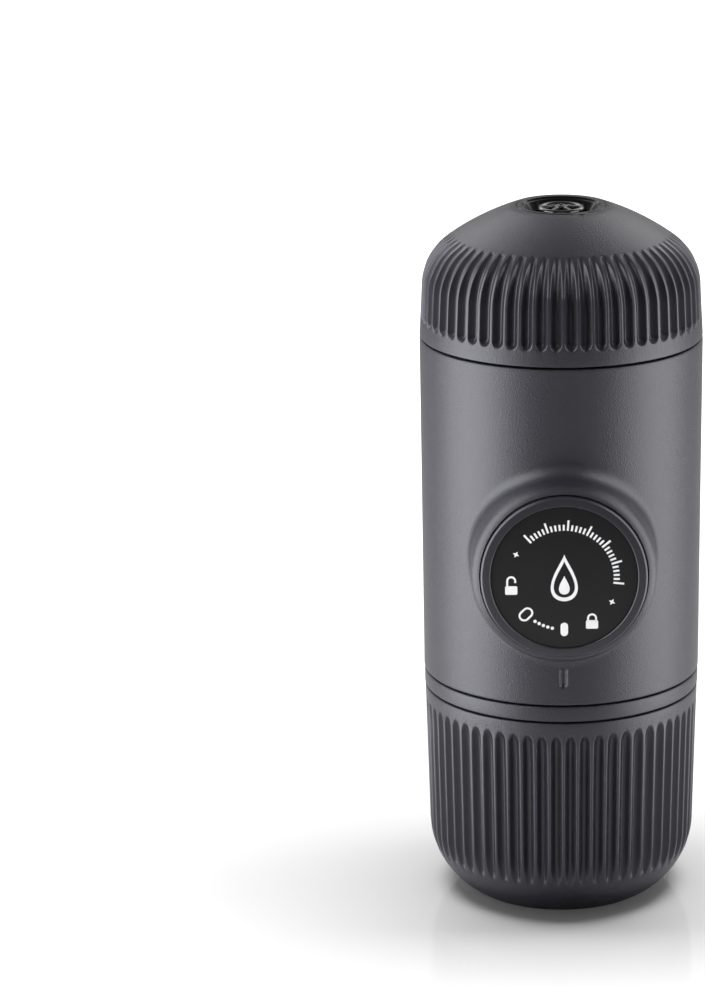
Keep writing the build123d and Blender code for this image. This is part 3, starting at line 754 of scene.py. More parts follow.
class Finishes:
    """The materials that the pieces share, each made once."""

    def __init__(self) -> None:
        """Make every material."""
        self.shell = GrainedPlastic().material()
        self.disc = PlainPlastic(
            "satin_black", (0.0050, 0.0050, 0.0060), (0.40, 0.48), gloss=0.28
        ).material()
        self.vent = PlainPlastic(
            "gloss_black", (0.0036, 0.0036, 0.0040), (0.12, 0.18), gloss=0.12
        ).material()
        self.wheel = PlainPlastic(
            "wheel_black", (0.0045, 0.0045, 0.0050), (0.12, 0.18), gloss=0.7
        ).material()
        self.inner = PlainPlastic("dark_moulding", (0.030, 0.030, 0.033), (0.36, 0.5)).material()
        self.sieve = Steel("sieve_steel").material()
        self.wire = Steel("bright_steel", roughness=(0.14, 0.24)).material()
        self.silicone = Silicone().material()
        self.print = PadInk().material()

    def of(self, slot: Slot) -> bpy.types.Material:
        """The usual material of a slot of the record."""
        return {
            Slot.SHELL: self.shell,
            Slot.BLACK: self.disc,
            Slot.INNER: self.inner,
            Slot.SIEVE: self.sieve,
            Slot.STEEL: self.wire,
            Slot.SILICONE: self.silicone,
        }[slot]

    def fit(
        self,
        skin: Skin,
        slot: Slot,
        node: str,
        own: bpy.types.Material | None = None,
        stands_in: bool = True,
    ) -> None:
        """Build a piece, dress it and tie it to the frame.

        Args:
            skin: The piece's closed surface, in place.
            slot: The record's slot that its finish belongs to.
            node: The CAD node whose body it moves with.
            own: Its finish, if that isn't the slot's usual one.
            stands_in: Whether it is shown instead of the node.
        """
        piece = skin.build()
        piece.data.materials.append(own or self.of(slot))
        body = BODY_OF[node]
        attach(piece, body)
        if stands_in:
            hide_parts(node)
        log.info("%s: %d faces on body %s", piece.name, len(piece.data.polygons), body)


# ---------------------------------------------------------------- fluted shells


@dataclass(frozen=True)
class Flutes:
    """Grooves cut into a shell, all alike, that start past a plain land and run out at the end."""

    count: int = 60
    depth: float = 1.45
    half_width: float = 1.3
    land: float = 3.4
    start_slope: float = 0.75
    crest_softness: float = 0.13
    fade: float = 2.2
    close_rows: tuple[float, float] = (-0.2, 2.0)
    smooth_run: float = 1.5
    smooth_share: float = 0.2
    half_columns: tuple[float, ...] = (0.0, 0.17, 0.34, 0.49, 0.61, 0.7, 0.77, 0.83, 0.9)

    def start_stops(self) -> tuple[tuple[float, int], ...]:
        """Stops, as in spaced, of the close rows across the flutes' start."""
        before, after = self.close_rows
        return (self.land + before, 2), (self.land + after, 12)

    def angles(self) -> Array:
        """Angles of the columns, closer together where the crests turn over.

        half_columns are shares of half a pitch from a flute's centre line. Each flute has them
        mirrored on both sides, and a ridge stands at angle 0.
        """
        half = np.array(self.half_columns)
        share = np.concatenate([-half[:0:-1], half, [1.0]])
        centres = (np.arange(self.count) + 0.5)[:, None]
        return ((centres + share / 2) * TURN / self.count).ravel()

    def cut(self, run: Array, radius: Array, reach: Array, angle: Array) -> Array:
        """Depth of the cut at each row and column.

        The cut is round as a ball cutter leaves it: reach - depth (d / half width)^2, where d is
        the distance from the flute's centre line. Before the flute's start d is taken to its
        starting point, with the way along the flute counted by start_slope, so that the end is
        a round or a drawn-out tip. Where the floor's reach falls under 1 / fade of the depth,
        the cut fades out.

        Args:
            run: Distance of each row along the outline.
            radius: Radius of the shell at each row.
            reach: Depth of the flute's floor at each row.
            angle: Angle of each column.

        Returns:
            Depths, rows by columns.
        """
        pitch = TURN / self.count
        across = radius[:, None] * (np.mod(angle, pitch) - pitch / 2)
        start = self.land + self.half_width / self.start_slope
        ahead = self.start_slope * np.maximum(0, start - run)[:, None]
        distance = np.hypot(across, ahead)
        floor = reach[:, None] - self.depth * (distance / self.half_width) ** 2
        fade = np.clip(reach / self.depth * self.fade, 0, 1)[:, None]
        return soft_floor(floor, self.crest_softness) * eased(fade)


@dataclass(frozen=True)
class ShellOutline:
    """Outer line of a fluted shell: straight side, round shoulder and, on a dome, a cone.

    The stops past the side place the rows, as in spaced, counted from the side's end. The last
    run, to the end of the line, has end_steps rows.
    """

    rim: tuple[float, float]
    shoulder: tuple[float, float]
    ends: tuple[tuple[float, float], ...]
    run_out: tuple[float, float]
    rim_round: float
    stops_past_side: tuple[tuple[float, int], ...]
    end_steps: int
    arc_steps: int = 160

    def side_length(self) -> float:
        """Length of the straight side."""
        return float(np.linalg.norm(np.array(self.shoulder) - np.array(self.rim)))

    def outline(self) -> Outline:
        """Side from the rim, then an arc tangent to it, and to each other, through every end."""
        rim, corner = np.array(self.rim), np.array(self.shoulder)
        heading = (corner - rim) / self.side_length()
        points = [between(rim, corner, np.linspace(0, 1, self.arc_steps)[:, None])]
        last = corner
        for end in self.ends:
            arc, heading = tangent_arc(last, heading, np.array(end), self.arc_steps)
            points.append(arc)
            last = np.array(end)
        return Outline(np.concatenate(points))

    def rows(self, flutes: Flutes) -> Array:
        """Distances of the rows along the outline, closest where the flutes start and end."""
        side = self.side_length()
        return spaced(
            (self.rim_round, 0),
            *flutes.start_stops(),
            *((side + past, steps) for past, steps in self.stops_past_side),
            (self.outline().run[-1], self.end_steps),
        )

    def reach(self, outline: Outline, run: Array, depth: float) -> Array:
        """Depth of the flute floor under each place on the outline.

        Along the side it is constant. Past it the floor is an arc with centre c and radius R
        that comes out at the run-out point, and along the inward normal n from the surface
        point p it lies at t = -v.n - sqrt((v.n)^2 - v.v + R^2), where v = p - c.
        """
        rim, corner = np.array(self.rim), np.array(self.shoulder)
        side = self.side_length()
        place, inward = outline.at(run)
        start, normal = outline.at(np.array(side * (1 - HAIR)))
        centre, radius = arc_centre(
            start + normal * depth, (corner - rim) / side, np.array(self.run_out)
        )
        offset = place - centre
        toward = (offset * inward).sum(axis=-1)
        inside = toward**2 - (offset**2).sum(axis=-1) + radius**2
        arc = -toward - np.sqrt(np.maximum(inside, 0))
        apart = np.linalg.norm(outline.points - np.array(self.run_out), axis=1)
        arc[run > outline.run[np.argmin(apart)]] = 0
        return np.clip(np.where(run <= side, depth, arc), 0, depth)


def fluted_wall(shape: ShellOutline, flutes: Flutes) -> tuple[Array, Array, Array]:
    """Outer wall of a fluted shell.

    The point at row s and angle a is the outline's point at s, moved inwards along the outline's
    normal by the depth of the cut there.

    Args:
        shape: The shell's outer line.
        flutes: The flutes.

    Returns:
        Points by row and column, how smooth the finish is at each, and the columns' angles.
    """
    outline, rows = shape.outline(), shape.rows(flutes)
    place, inward = outline.at(rows)
    reach = shape.reach(outline, rows, flutes.depth)
    angle = flutes.angles()
    cut = flutes.cut(rows, place[:, 0], reach, angle)
    moved = place[:, None] + inward[:, None] * cut[..., None]
    grid = BARREL_AXIS.place(moved[..., 0], angle, moved[..., 1])
    past_start = eased((rows - flutes.land) / flutes.smooth_run)
    zone = past_start * eased(reach / (flutes.smooth_share * flutes.depth))
    smooth = np.broadcast_to(zone[:, None], cut.shape)
    return grid, smooth, angle


# ---------------------------------------------------------------- cup


@dataclass
class Cup:
    """Fluted drinking cup, the foot of the closed maker."""

    foot_radius: float = 20.2
    shoulder_height: float = 15.5
    shoulder_radius: float = 29.6
    wall: float = 2.0
    floor: float = 2.4
    floor_radius: float = 16.5
    rim_round: float = 0.35
    run_out: tuple[float, float] = (27.87, 8.7)
    flutes: Flutes = field(default_factory=lambda: Flutes(start_slope=0.42, land=2.9))

    def build(self, finishes: Finishes) -> None:
        """Outer wall with flutes, foot, inner wall and rim as one closed skin."""
        _, high = corners_of("cup")
        rim, height = high[0], high[2]
        shape = ShellOutline(
            rim=(rim, height),
            shoulder=(self.shoulder_radius, self.shoulder_height),
            ends=((self.foot_radius, 0.0),),
            run_out=self.run_out,
            rim_round=self.rim_round,
            stops_past_side=((-1.0, 6), (11.5, 30)),
            end_steps=5,
        )
        grid, smooth, angle = fluted_wall(shape, self.flutes)
        skin = Skin("cup_shell")
        skin.add_grid(grid, wrap_columns=True, smooth=smooth)
        skin.add_fan(grid[-1])

        inner_rim = np.array([rim - self.wall, height])
        inner_corner = np.array([self.shoulder_radius - self.wall, self.shoulder_height])
        down = inner_corner - inner_rim
        floor_edge = np.array([self.floor_radius, self.floor])
        arc, _ = tangent_arc(inner_corner, down / np.linalg.norm(down), floor_edge, 14)
        edge = rounded_edge(rim, inner_rim[0], height, self.rim_round)
        lining = BARREL_AXIS.turn(np.concatenate([edge, inner_corner[None], arc]), angle)
        skin.add_grid(np.concatenate([grid[:1], lining]), wrap_columns=True)
        skin.add_fan(lining[-1])
        finishes.fit(skin, Slot.SHELL, "cup")


# ---------------------------------------------------------------- threads


@dataclass(frozen=True)
class Thread:
    """Three-start screw thread with short, tapered ridges."""

    lead: float = 9.0
    starts: int = 3
    sweep_deg: float = 112.0
    base_half_width: float = 0.75
    crest_half_width: float = 0.25
    taper_share: float = 0.18
    tip_width_share: float = 0.3
    sunk: float = 0.1
    steps: int = 72

    def add_to(self, skin: Skin, radius: float, bottom: float, height: float) -> None:
        """Add every start's ridge to a skin.

        A ridge follows z = bottom + lead a / turn round a cylinder. Its trapezoid section grows
        from nothing over the first and last share of its sweep.

        Args:
            skin: The skin to add to.
            radius: The cylinder's radius. The ridge's foot is sunk a little into it.
            bottom: Height of the ridge's centre line where it starts.
            height: How far the crest stands out.
        """
        share = np.linspace(0, 1, self.steps)
        grow = (eased(share / self.taper_share) * eased((1 - share) / self.taper_share))[:, None]
        out = np.array([-self.sunk, 0.0, height, height, 0.0, -self.sunk])
        base, crest = self.base_half_width, self.crest_half_width
        width = np.array([-base, -base, -crest, crest, base, base])
        out = np.where(out == height, height * grow, out)
        width = width * between(self.tip_width_share, 1.0, grow)
        climb = bottom + self.lead * share * self.sweep_deg / 360
        for start in range(self.starts):
            angle = start * TURN / self.starts + share * math.radians(self.sweep_deg)
            grid = BARREL_AXIS.place(radius + out, -angle[:, None], climb[:, None] + width)
            skin.add_grid(grid, wrap_columns=True)
            skin.add_fan(grid[0])
            skin.add_fan(grid[-1])


# ---------------------------------------------------------------- outlet head


@dataclass
class OutletHead:
    """Flange ring, threaded collar, bowl and nozzle that screw under the barrel."""

    collar_radius: float = 26.2
    collar_wall: float = 1.3
    wall: float = 2.2
    pocket_radius: float = 22.4
    ledge_depth: float = 0.9
    register_radius: float = 27.9
    register_depth: float = 6.5
    bowl_floor: float = 27.5
    funnel_depth: float = 7.0
    spout_radius: float = 5.0
    spout_collar: float = 3.0
    spout_play: float = 0.05
    nozzle_bore: float = 1.6
    nozzle_tip: float = 3.6
    nozzle_taper: float = 5.5
    flange_height: float = 3.4
    edge: float = 0.35
    thread_rise: float = 1.8
    thread_height: float = 0.45
    thread: Thread = field(default_factory=Thread)

    def build(self, finishes: Finishes) -> None:
        """Turn the head and the nozzle, and add the thread."""
        low, high = corners_of("outlet_head")
        flange_bottom = corners_of("cup")[1][2] + SEAM
        flange_top = flange_bottom + self.flange_height
        register_bottom = flange_bottom - self.register_depth
        ledge = corners_of("filter_basket")[1][2] - self.ledge_depth
        bowl_bottom = self.bowl_floor - self.wall
        bowl_radius = self.pocket_radius + self.wall
        collar_bore = self.collar_radius - self.collar_wall
        nozzle_flange = self.spout_radius + self.wall
        section = rounded(
            [
                (self.spout_radius, low[2], 0.2),
                (nozzle_flange, low[2], 0.2),
                (nozzle_flange, bowl_bottom, 1.2),
                (bowl_radius, bowl_bottom + self.funnel_depth, 4.0),
                (bowl_radius, register_bottom - (self.register_radius - bowl_radius), 1.0),
                (self.register_radius, register_bottom, 0.6),
                (self.register_radius, flange_bottom, 0.2),
                (high[0], flange_bottom, self.edge),
                (high[0], flange_top, self.edge),
                (self.collar_radius, flange_top, 0.4),
                (self.collar_radius, high[2], 0.4),
                (collar_bore, high[2], 0.3),
                (collar_bore, ledge, 0.1),
                (self.pocket_radius, ledge, 0.3),
                (self.pocket_radius, self.bowl_floor + self.funnel_depth, 4.0),
                (self.spout_radius, self.bowl_floor, 0.4),
            ],
            steps=5,
        )
        finishes.fit(turned("outlet_head_shell", section, 256), Slot.SHELL, "outlet_head")

        ridges = Skin("outlet_head_thread")
        rise = flange_top + self.thread_rise
        self.thread.add_to(ridges, self.collar_radius, rise, self.thread_height)
        finishes.fit(ridges, Slot.SHELL, "outlet_head", stands_in=False)
        self._build_nozzle(finishes, nozzle_flange, low[2])

    def _build_nozzle(self, finishes: Finishes, flange: float, seat: float) -> None:
        """Turn the tapered nozzle, with its flange under the head's seat."""
        low, high = corners_of("outlet_spout")
        neck = self.spout_radius - self.spout_play
        section = rounded(
            [
                (self.nozzle_bore, low[2], 0.3),
                (self.nozzle_tip, low[2], 0.5),
                (flange, low[2] + self.nozzle_taper, 0.8),
                (flange, seat, 0.2),
                (neck, seat, 0.1),
                (neck, high[2], 0.2),
                (self.nozzle_bore, high[2] - self.spout_collar, 0.5),
            ]
        )
        finishes.fit(turned("outlet_nozzle", section, 96), Slot.INNER, "outlet_spout")


# ---------------------------------------------------------------- basket, scoop and screen


@dataclass(frozen=True)
class Perforation:
    """Round holes in rings through a flat plate."""

    hole_radius: float
    pitch: float
    largest_share: float = 0.42
    least_count: int = 6
    side_steps: int = 3

    def add_to(
        self, skin: Skin, inner: float, outer: float, bottom: float, top: float
    ) -> None:
        """Add a plate from an inner to an outer radius, with the holes through it.

        The plate is rings of cells. A cell's border runs round a ring sector, and each of its
        points faces one on the hole's circle, so quads fill the cell between the two.
        """
        rings = max(1, round((outer - inner) / self.pitch))
        edges = np.linspace(inner, outer, rings + 1)
        for near, far in zip(edges, edges[1:]):
            count = max(self.least_count, round(math.pi * (near + far) / self.pitch))
            self._add_ring(skin, near, far, count, bottom, top)

    def _add_ring(
        self, skin: Skin, near: float, far: float, count: int, bottom: float, top: float
    ) -> None:
        """Add one ring of cells as a closed solid of its own."""
        steps = self.side_steps
        half = math.pi / count
        share = np.arange(steps) / steps
        still = np.ones(steps)
        radius = np.concatenate(
            [near * still, between(near, far, share), far * still, between(far, near, share)]
        )
        turn = half * np.concatenate([2 * share - 1, still, 1 - 2 * share, -still])
        middle = (near + far) / 2
        spoke = np.arctan2(radius - middle, middle * turn)
        size = min(self.hole_radius, self.largest_share * (far - near))
        hole_radius = middle + size * np.sin(spoke)
        hole_turn = size * np.cos(spoke) / middle
        loops = (
            (radius, turn, bottom),
            (hole_radius, hole_turn, bottom),
            (hole_radius, hole_turn, top),
            (radius, turn, top),
        )
        outer_wall = slice(2 * steps, 3 * steps + 1)
        inner_wall = slice(0, steps + 1)
        for cell in range(count):
            shift = cell * 2 * half
            grid = np.stack([BARREL_AXIS.place(r, t + shift, z) for r, t, z in loops])
            skin.add_grid(grid, wrap_columns=True)
            for wall in (outer_wall, inner_wall):
                skin.add_grid(grid[[0, 3]][:, wall])


@dataclass
class BrewParts:
    """Steel basket, scoop, gasket and shower screen round the coffee."""

    basket_wall: float = 0.7
    rim_height: float = 0.9
    rim_width: float = 3.0
    floor_hem: float = 2.6
    floor_hub: float = 1.2
    scoop_wall: float = 1.2
    band_drop: float = 1.2
    band_width: float = 1.2
    band_depth: float = 0.25
    band_slope: float = 0.1
    seal_width: float = 2.7
    seal_lip: float = 0.35
    seal_lip_width: float = 1.0
    screen_hem: float = 1.4
    screen_hub: float = 4.0
    screw_radius: float = 1.55
    floor_holes: Perforation = Perforation(0.32, 1.5)
    screen_holes: Perforation = Perforation(0.4, 1.7)

    def build(self, finishes: Finishes) -> None:
        """Build the four parts."""
        self._build_basket(finishes)
        self._build_scoop(finishes)
        self._build_seal(finishes)
        self._build_screen(finishes)

    def _build_basket(self, finishes: Finishes) -> None:
        """Drawn cup with a flat rim, a rounded foot and a perforated floor."""
        low, high = corners_of("filter_basket")
        rim = high[0]
        radius = rim - self.rim_width
        bore = radius - self.basket_wall
        hem = radius - self.floor_hem
        bottom, floor = low[2], low[2] + self.basket_wall
        wall = rounded(
            [
                (hem, bottom, 0.05),
                (radius, bottom, 1.6),
                (radius, high[2] - self.rim_height, 0.5),
                (rim, high[2] - self.rim_height, 0.3),
                (rim, high[2], 0.3),
                (bore, high[2], 0.8),
                (bore, floor, 1.0),
                (hem, floor, 0.05),
            ],
            steps=6,
        )
        skin = turned("basket", wall)
        self.floor_holes.add_to(skin, self.floor_hub, hem, bottom, floor)
        skin.add_lathe(block(0, self.floor_hub, bottom, floor), 48)
        finishes.fit(skin, Slot.SIEVE, "filter_basket")

    def _build_scoop(self, finishes: Finishes) -> None:
        """Straight-sided measuring scoop with a sunk band under its lip."""
        low, high = corners_of("scoop")
        radius, wall = high[0], self.scoop_wall
        waist = radius - self.band_depth
        band_top = high[2] - self.band_drop
        band_bottom = band_top - self.band_width
        section = rounded(
            [
                (0, low[2], 0),
                (radius, low[2], 1.5),
                (radius, band_bottom, 0.15),
                (waist, band_bottom + self.band_slope, 0.1),
                (waist, band_top - self.band_slope, 0.1),
                (radius, band_top, 0.15),
                (radius, high[2], 0.4),
                (radius - wall, high[2], 0.4),
                (radius - wall, low[2] + wall, 1.2),
                (0, low[2] + wall, 0),
            ],
            steps=5,
        )
        finishes.fit(turned("scoop_cup", section), Slot.INNER, "scoop")

    def _build_seal(self, finishes: Finishes) -> None:
        """Flat gasket with two lips on its lower face."""
        low, high = corners_of("group_seal")
        outer, inner = high[0], high[0] - self.seal_width
        valley, lip = low[2] + self.seal_lip, self.seal_lip_width
        section = rounded(
            [
                (inner, valley, 0.2),
                (inner + lip / 2, low[2], 0.2),
                (inner + lip, valley, 0.1),
                (outer - lip, valley, 0.1),
                (outer - lip / 2, low[2], 0.2),
                (outer, valley, 0.2),
                (outer, high[2], 0.3),
                (inner, high[2], 0.3),
            ]
        )
        finishes.fit(turned("basket_gasket", section), Slot.SILICONE, "group_seal")

    def _build_screen(self, finishes: Finishes) -> None:
        """Perforated disc with a plain band at its edge and round its screw."""
        low, high = corners_of("shower_screen")
        bottom, top = low[2], high[2]
        hem = high[0] - self.screen_hem
        skin = turned("shower_plate", block(hem, high[0], bottom, top, 0.02, 0.25), 160)
        self.screen_holes.add_to(skin, self.screen_hub, hem, bottom, top)
        skin.add_lathe(block(self.screw_radius, self.screen_hub, bottom, top), 64)
        finishes.fit(skin, Slot.SIEVE, "shower_screen")


# ---------------------------------------------------------------- barrel


@dataclass
class Barrel:
    """Casing with the boss that flares out of it round the pump button."""

    bottom_radius: float = 30.6
    top_radius: float = 31.0
    bore: float = 28.2
    frame_bore: float = 28.8
    socket_depth: float = 16.1
    boss_radius: float = 20.0
    boss_reach: float = 38.5
    boss_blend: float = 3.4
    rim_edge: float = 0.2
    rim_ease: float = 0.3
    rim_lean_deg: float = 25.0
    guide_bore: float = 17.93
    guide_end: float = 15.0
    guide_radius: float = 19.95
    edge: float = 0.35
    front_half_angle_deg: float = 62.0
    index_height: float = 58.1
    index_length: float = 5.3
    index_width: float = 2.2
    index_depth: float = 0.6
    index_wall: float = 0.95
    side_steps: int = 60
    top_steps: int = 64
    bottom_steps: int = 26
    back_steps: int = 96
    front_rows: int = 52
    inner_rows: int = 6
    arc_steps: int = 12

    def __post_init__(self) -> None:
        """Take the casing's levels from the frame."""
        low, high = corners_of("body_shell")
        self.bottom, self.top = low[2], high[2]
        self.lower_ledge = corners_of("group_head")[1][2]
        self.upper_ledge = self.top - self.socket_depth
        self.axis_height = PUMP_AXIS.origin[2]
        self.half_angle = math.radians(self.front_half_angle_deg)

    def _radius_at(self, height: Array | float) -> Array | float:
        """Radius of the barrel's outer cone at a height."""
        share = (height - self.bottom) / (self.top - self.bottom)
        return between(self.bottom_radius, self.top_radius, share)

    def _outer_level(self, share: Array) -> Array:
        """Height of a share of the casing, between its rounded edges."""
        return between(self.bottom + self.edge, self.top - self.edge, share)

    def _border(self) -> tuple[Array, Array, Array]:
        """Points on the border of the front panel, in order round it.

        The columns stand closest at the bottom within an index mark's width of the middle.

        Returns:
            Angle round the barrel, share of the height, and direction seen from the boss.
        """
        half = self.half_angle
        fine = self.index_width / self.bottom_radius
        bottom = spaced((-half, 0), *((turn, self.bottom_steps) for turn in (-fine, fine, half)))
        top = spaced((-half, 0), (half, self.top_steps))[::-1]
        side = np.linspace(0, 1, self.side_steps + 1)
        edge = np.full(self.side_steps, half)
        angle = np.concatenate([bottom[:-1], edge, top[:-1], -edge])
        share = np.concatenate(
            [np.zeros(len(bottom) - 1), side[:-1], np.ones(len(top) - 1), side[:0:-1]]
        )
        rise = self._outer_level(share) - self.axis_height
        return angle, share, np.arctan2(angle * self.bottom_radius, rise)

    def _index_cut(self, angle: Array, height: Array) -> Array:
        """Depth of the index mark: an upright trough, from the distance to its middle line."""
        across = angle * self._radius_at(height)
        straight = (self.index_length - self.index_width) / 2
        beyond = np.maximum(0, np.abs(height - self.index_height) - straight)
        inside = self.index_width / 2 - np.hypot(across, beyond)
        return self.index_depth * eased(inside / self.index_wall)

    def _rim(self, toward: Array) -> Array:
        """Rim of the boss, from the guide's bore outwards.

        It is an arc of radius b that starts at a lean and ends upright:
        r = boss radius - b (1 - sin t), reach = rim - b (cos lean - cos t).
        """
        lean = math.radians(self.rim_lean_deg)
        width = self.boss_radius - self.guide_bore - self.rim_edge
        bend = width / (1 - math.sin(lean))
        turn = np.linspace(lean, math.pi / 2, self.arc_steps + 1)[:, None]
        radius = self.boss_radius - bend * (1 - np.sin(turn))
        return PUMP_AXIS.place(
            radius, toward, self.boss_reach - bend * (math.cos(lean) - np.cos(turn))
        )

    def _front(self) -> Array:
        """Front panel as one sheet of rings, from the inner wall out through the boss.

        The blend between boss and barrel is the path of a ball of radius f rolled round the
        corner: its centre is f outside both, and its arc turns from the boss's side to the
        barrel's normal.
        """
        angle, share, toward = self._border()
        sine, cosine = np.sin(toward), np.cos(toward)

        tube = self.guide_radius
        rows = np.linspace(1, 0, self.inner_rows + 1)[:, None]
        inner = BARREL_AXIS.place(
            self.bore,
            between(np.arcsin(tube * sine / self.bore), angle, rows),
            between(
                self.axis_height + tube * cosine,
                between(self.lower_ledge, self.upper_ledge, share),
                rows,
            ),
        )
        tube_end = PUMP_AXIS.place(tube, toward, self.guide_end)
        tube_wall = between(inner[-1], tube_end, np.linspace(0, 1, 4)[1:, None, None])
        bore, mouth, edge = self.guide_bore, self.boss_reach, self.rim_edge
        ease = self.rim_ease * edge
        guide = PUMP_AXIS.place(
            np.array([bore, bore, bore + ease, bore + edge])[:, None],
            toward,
            np.array([self.guide_end, mouth - edge, mouth - ease, mouth])[:, None],
        )
        rim = self._rim(toward)

        ball = self.boss_blend
        centre_height = self.axis_height + (self.boss_radius + ball) * cosine
        centre_across = (self.boss_radius + ball) * sine
        clear = self._radius_at(centre_height) + ball
        centre_depth = np.sqrt(clear**2 - centre_across**2)
        centre = np.stack([centre_across, -centre_depth, centre_height], axis=-1)
        level = np.zeros_like(sine)
        first = np.stack([-sine, level, -cosine], axis=-1)
        second = np.stack([-centre_across, centre_depth, level], axis=-1) / clear[:, None]
        opening = np.arccos(np.clip((first * second).sum(axis=-1), -1, 1))[:, None]
        shares = np.linspace(0, 1, self.arc_steps + 1)[:, None, None]
        blend = centre + ball * swung(first, second, opening, shares)
        boss_wall = between(rim[-1], blend[0], np.linspace(0, 1, 5)[1:-1, None, None])

        rows = np.linspace(0, 1, self.front_rows + 1)[1:, None]
        outer_angle = between(np.arcsin(centre_across / clear), angle, rows)
        outer_height = between(centre_height, self._outer_level(share), rows)
        radius = self._radius_at(outer_height) - self._index_cut(outer_angle, outer_height)
        outer = BARREL_AXIS.place(radius, outer_angle, outer_height)
        return np.concatenate([inner, tube_wall, guide, rim, boss_wall, blend, outer])

    def build(self, finishes: Finishes) -> None:
        """Front panel, back and the two stepped ends as one closed skin."""
        skin = Skin("barrel_casing")
        skin.add_grid(self._front(), wrap_columns=True)
        angle, share, _ = self._border()
        back = np.linspace(self.half_angle, TURN - self.half_angle, self.back_steps + 1)
        levels = np.linspace(0, 1, self.side_steps + 1)[:, None]
        outer = self._outer_level(levels)
        skin.add_grid(BARREL_AXIS.place(self._radius_at(outer), back, outer))
        inner = between(self.lower_ledge, self.upper_ledge, levels)
        skin.add_grid(BARREL_AXIS.place(self.bore, back, inner))

        for end, level, ledge, inward in (
            (0.0, self.bottom, self.lower_ledge, 1),
            (1.0, self.top, self.upper_ledge, -1),
        ):
            radius = self._radius_at(level + inward * self.edge)
            around = np.concatenate([np.sort(angle[share == end]), back[1:-1]])
            steps = np.array(
                [
                    *eased_edge(radius, level, self.edge, inward),
                    (self.frame_bore, level),
                    (self.frame_bore, ledge),
                    (self.bore, ledge),
                ]
            )
            skin.add_grid(BARREL_AXIS.turn(steps, around), wrap_columns=True)
        finishes.fit(skin, Slot.SHELL, "body_shell")


# ---------------------------------------------------------------- pump button


class Mark(Enum):
    """Marks printed on the face of the button, each with its angle from straight down."""

    LOCKED_BAR = 0.0
    UNLOCKED_BAR = -45.3
    CLOSED_PADLOCK = 31.0
    OPEN_PADLOCK = -79.0
    RIGHT_STAR = 62.0
    LEFT_STAR = -117.0


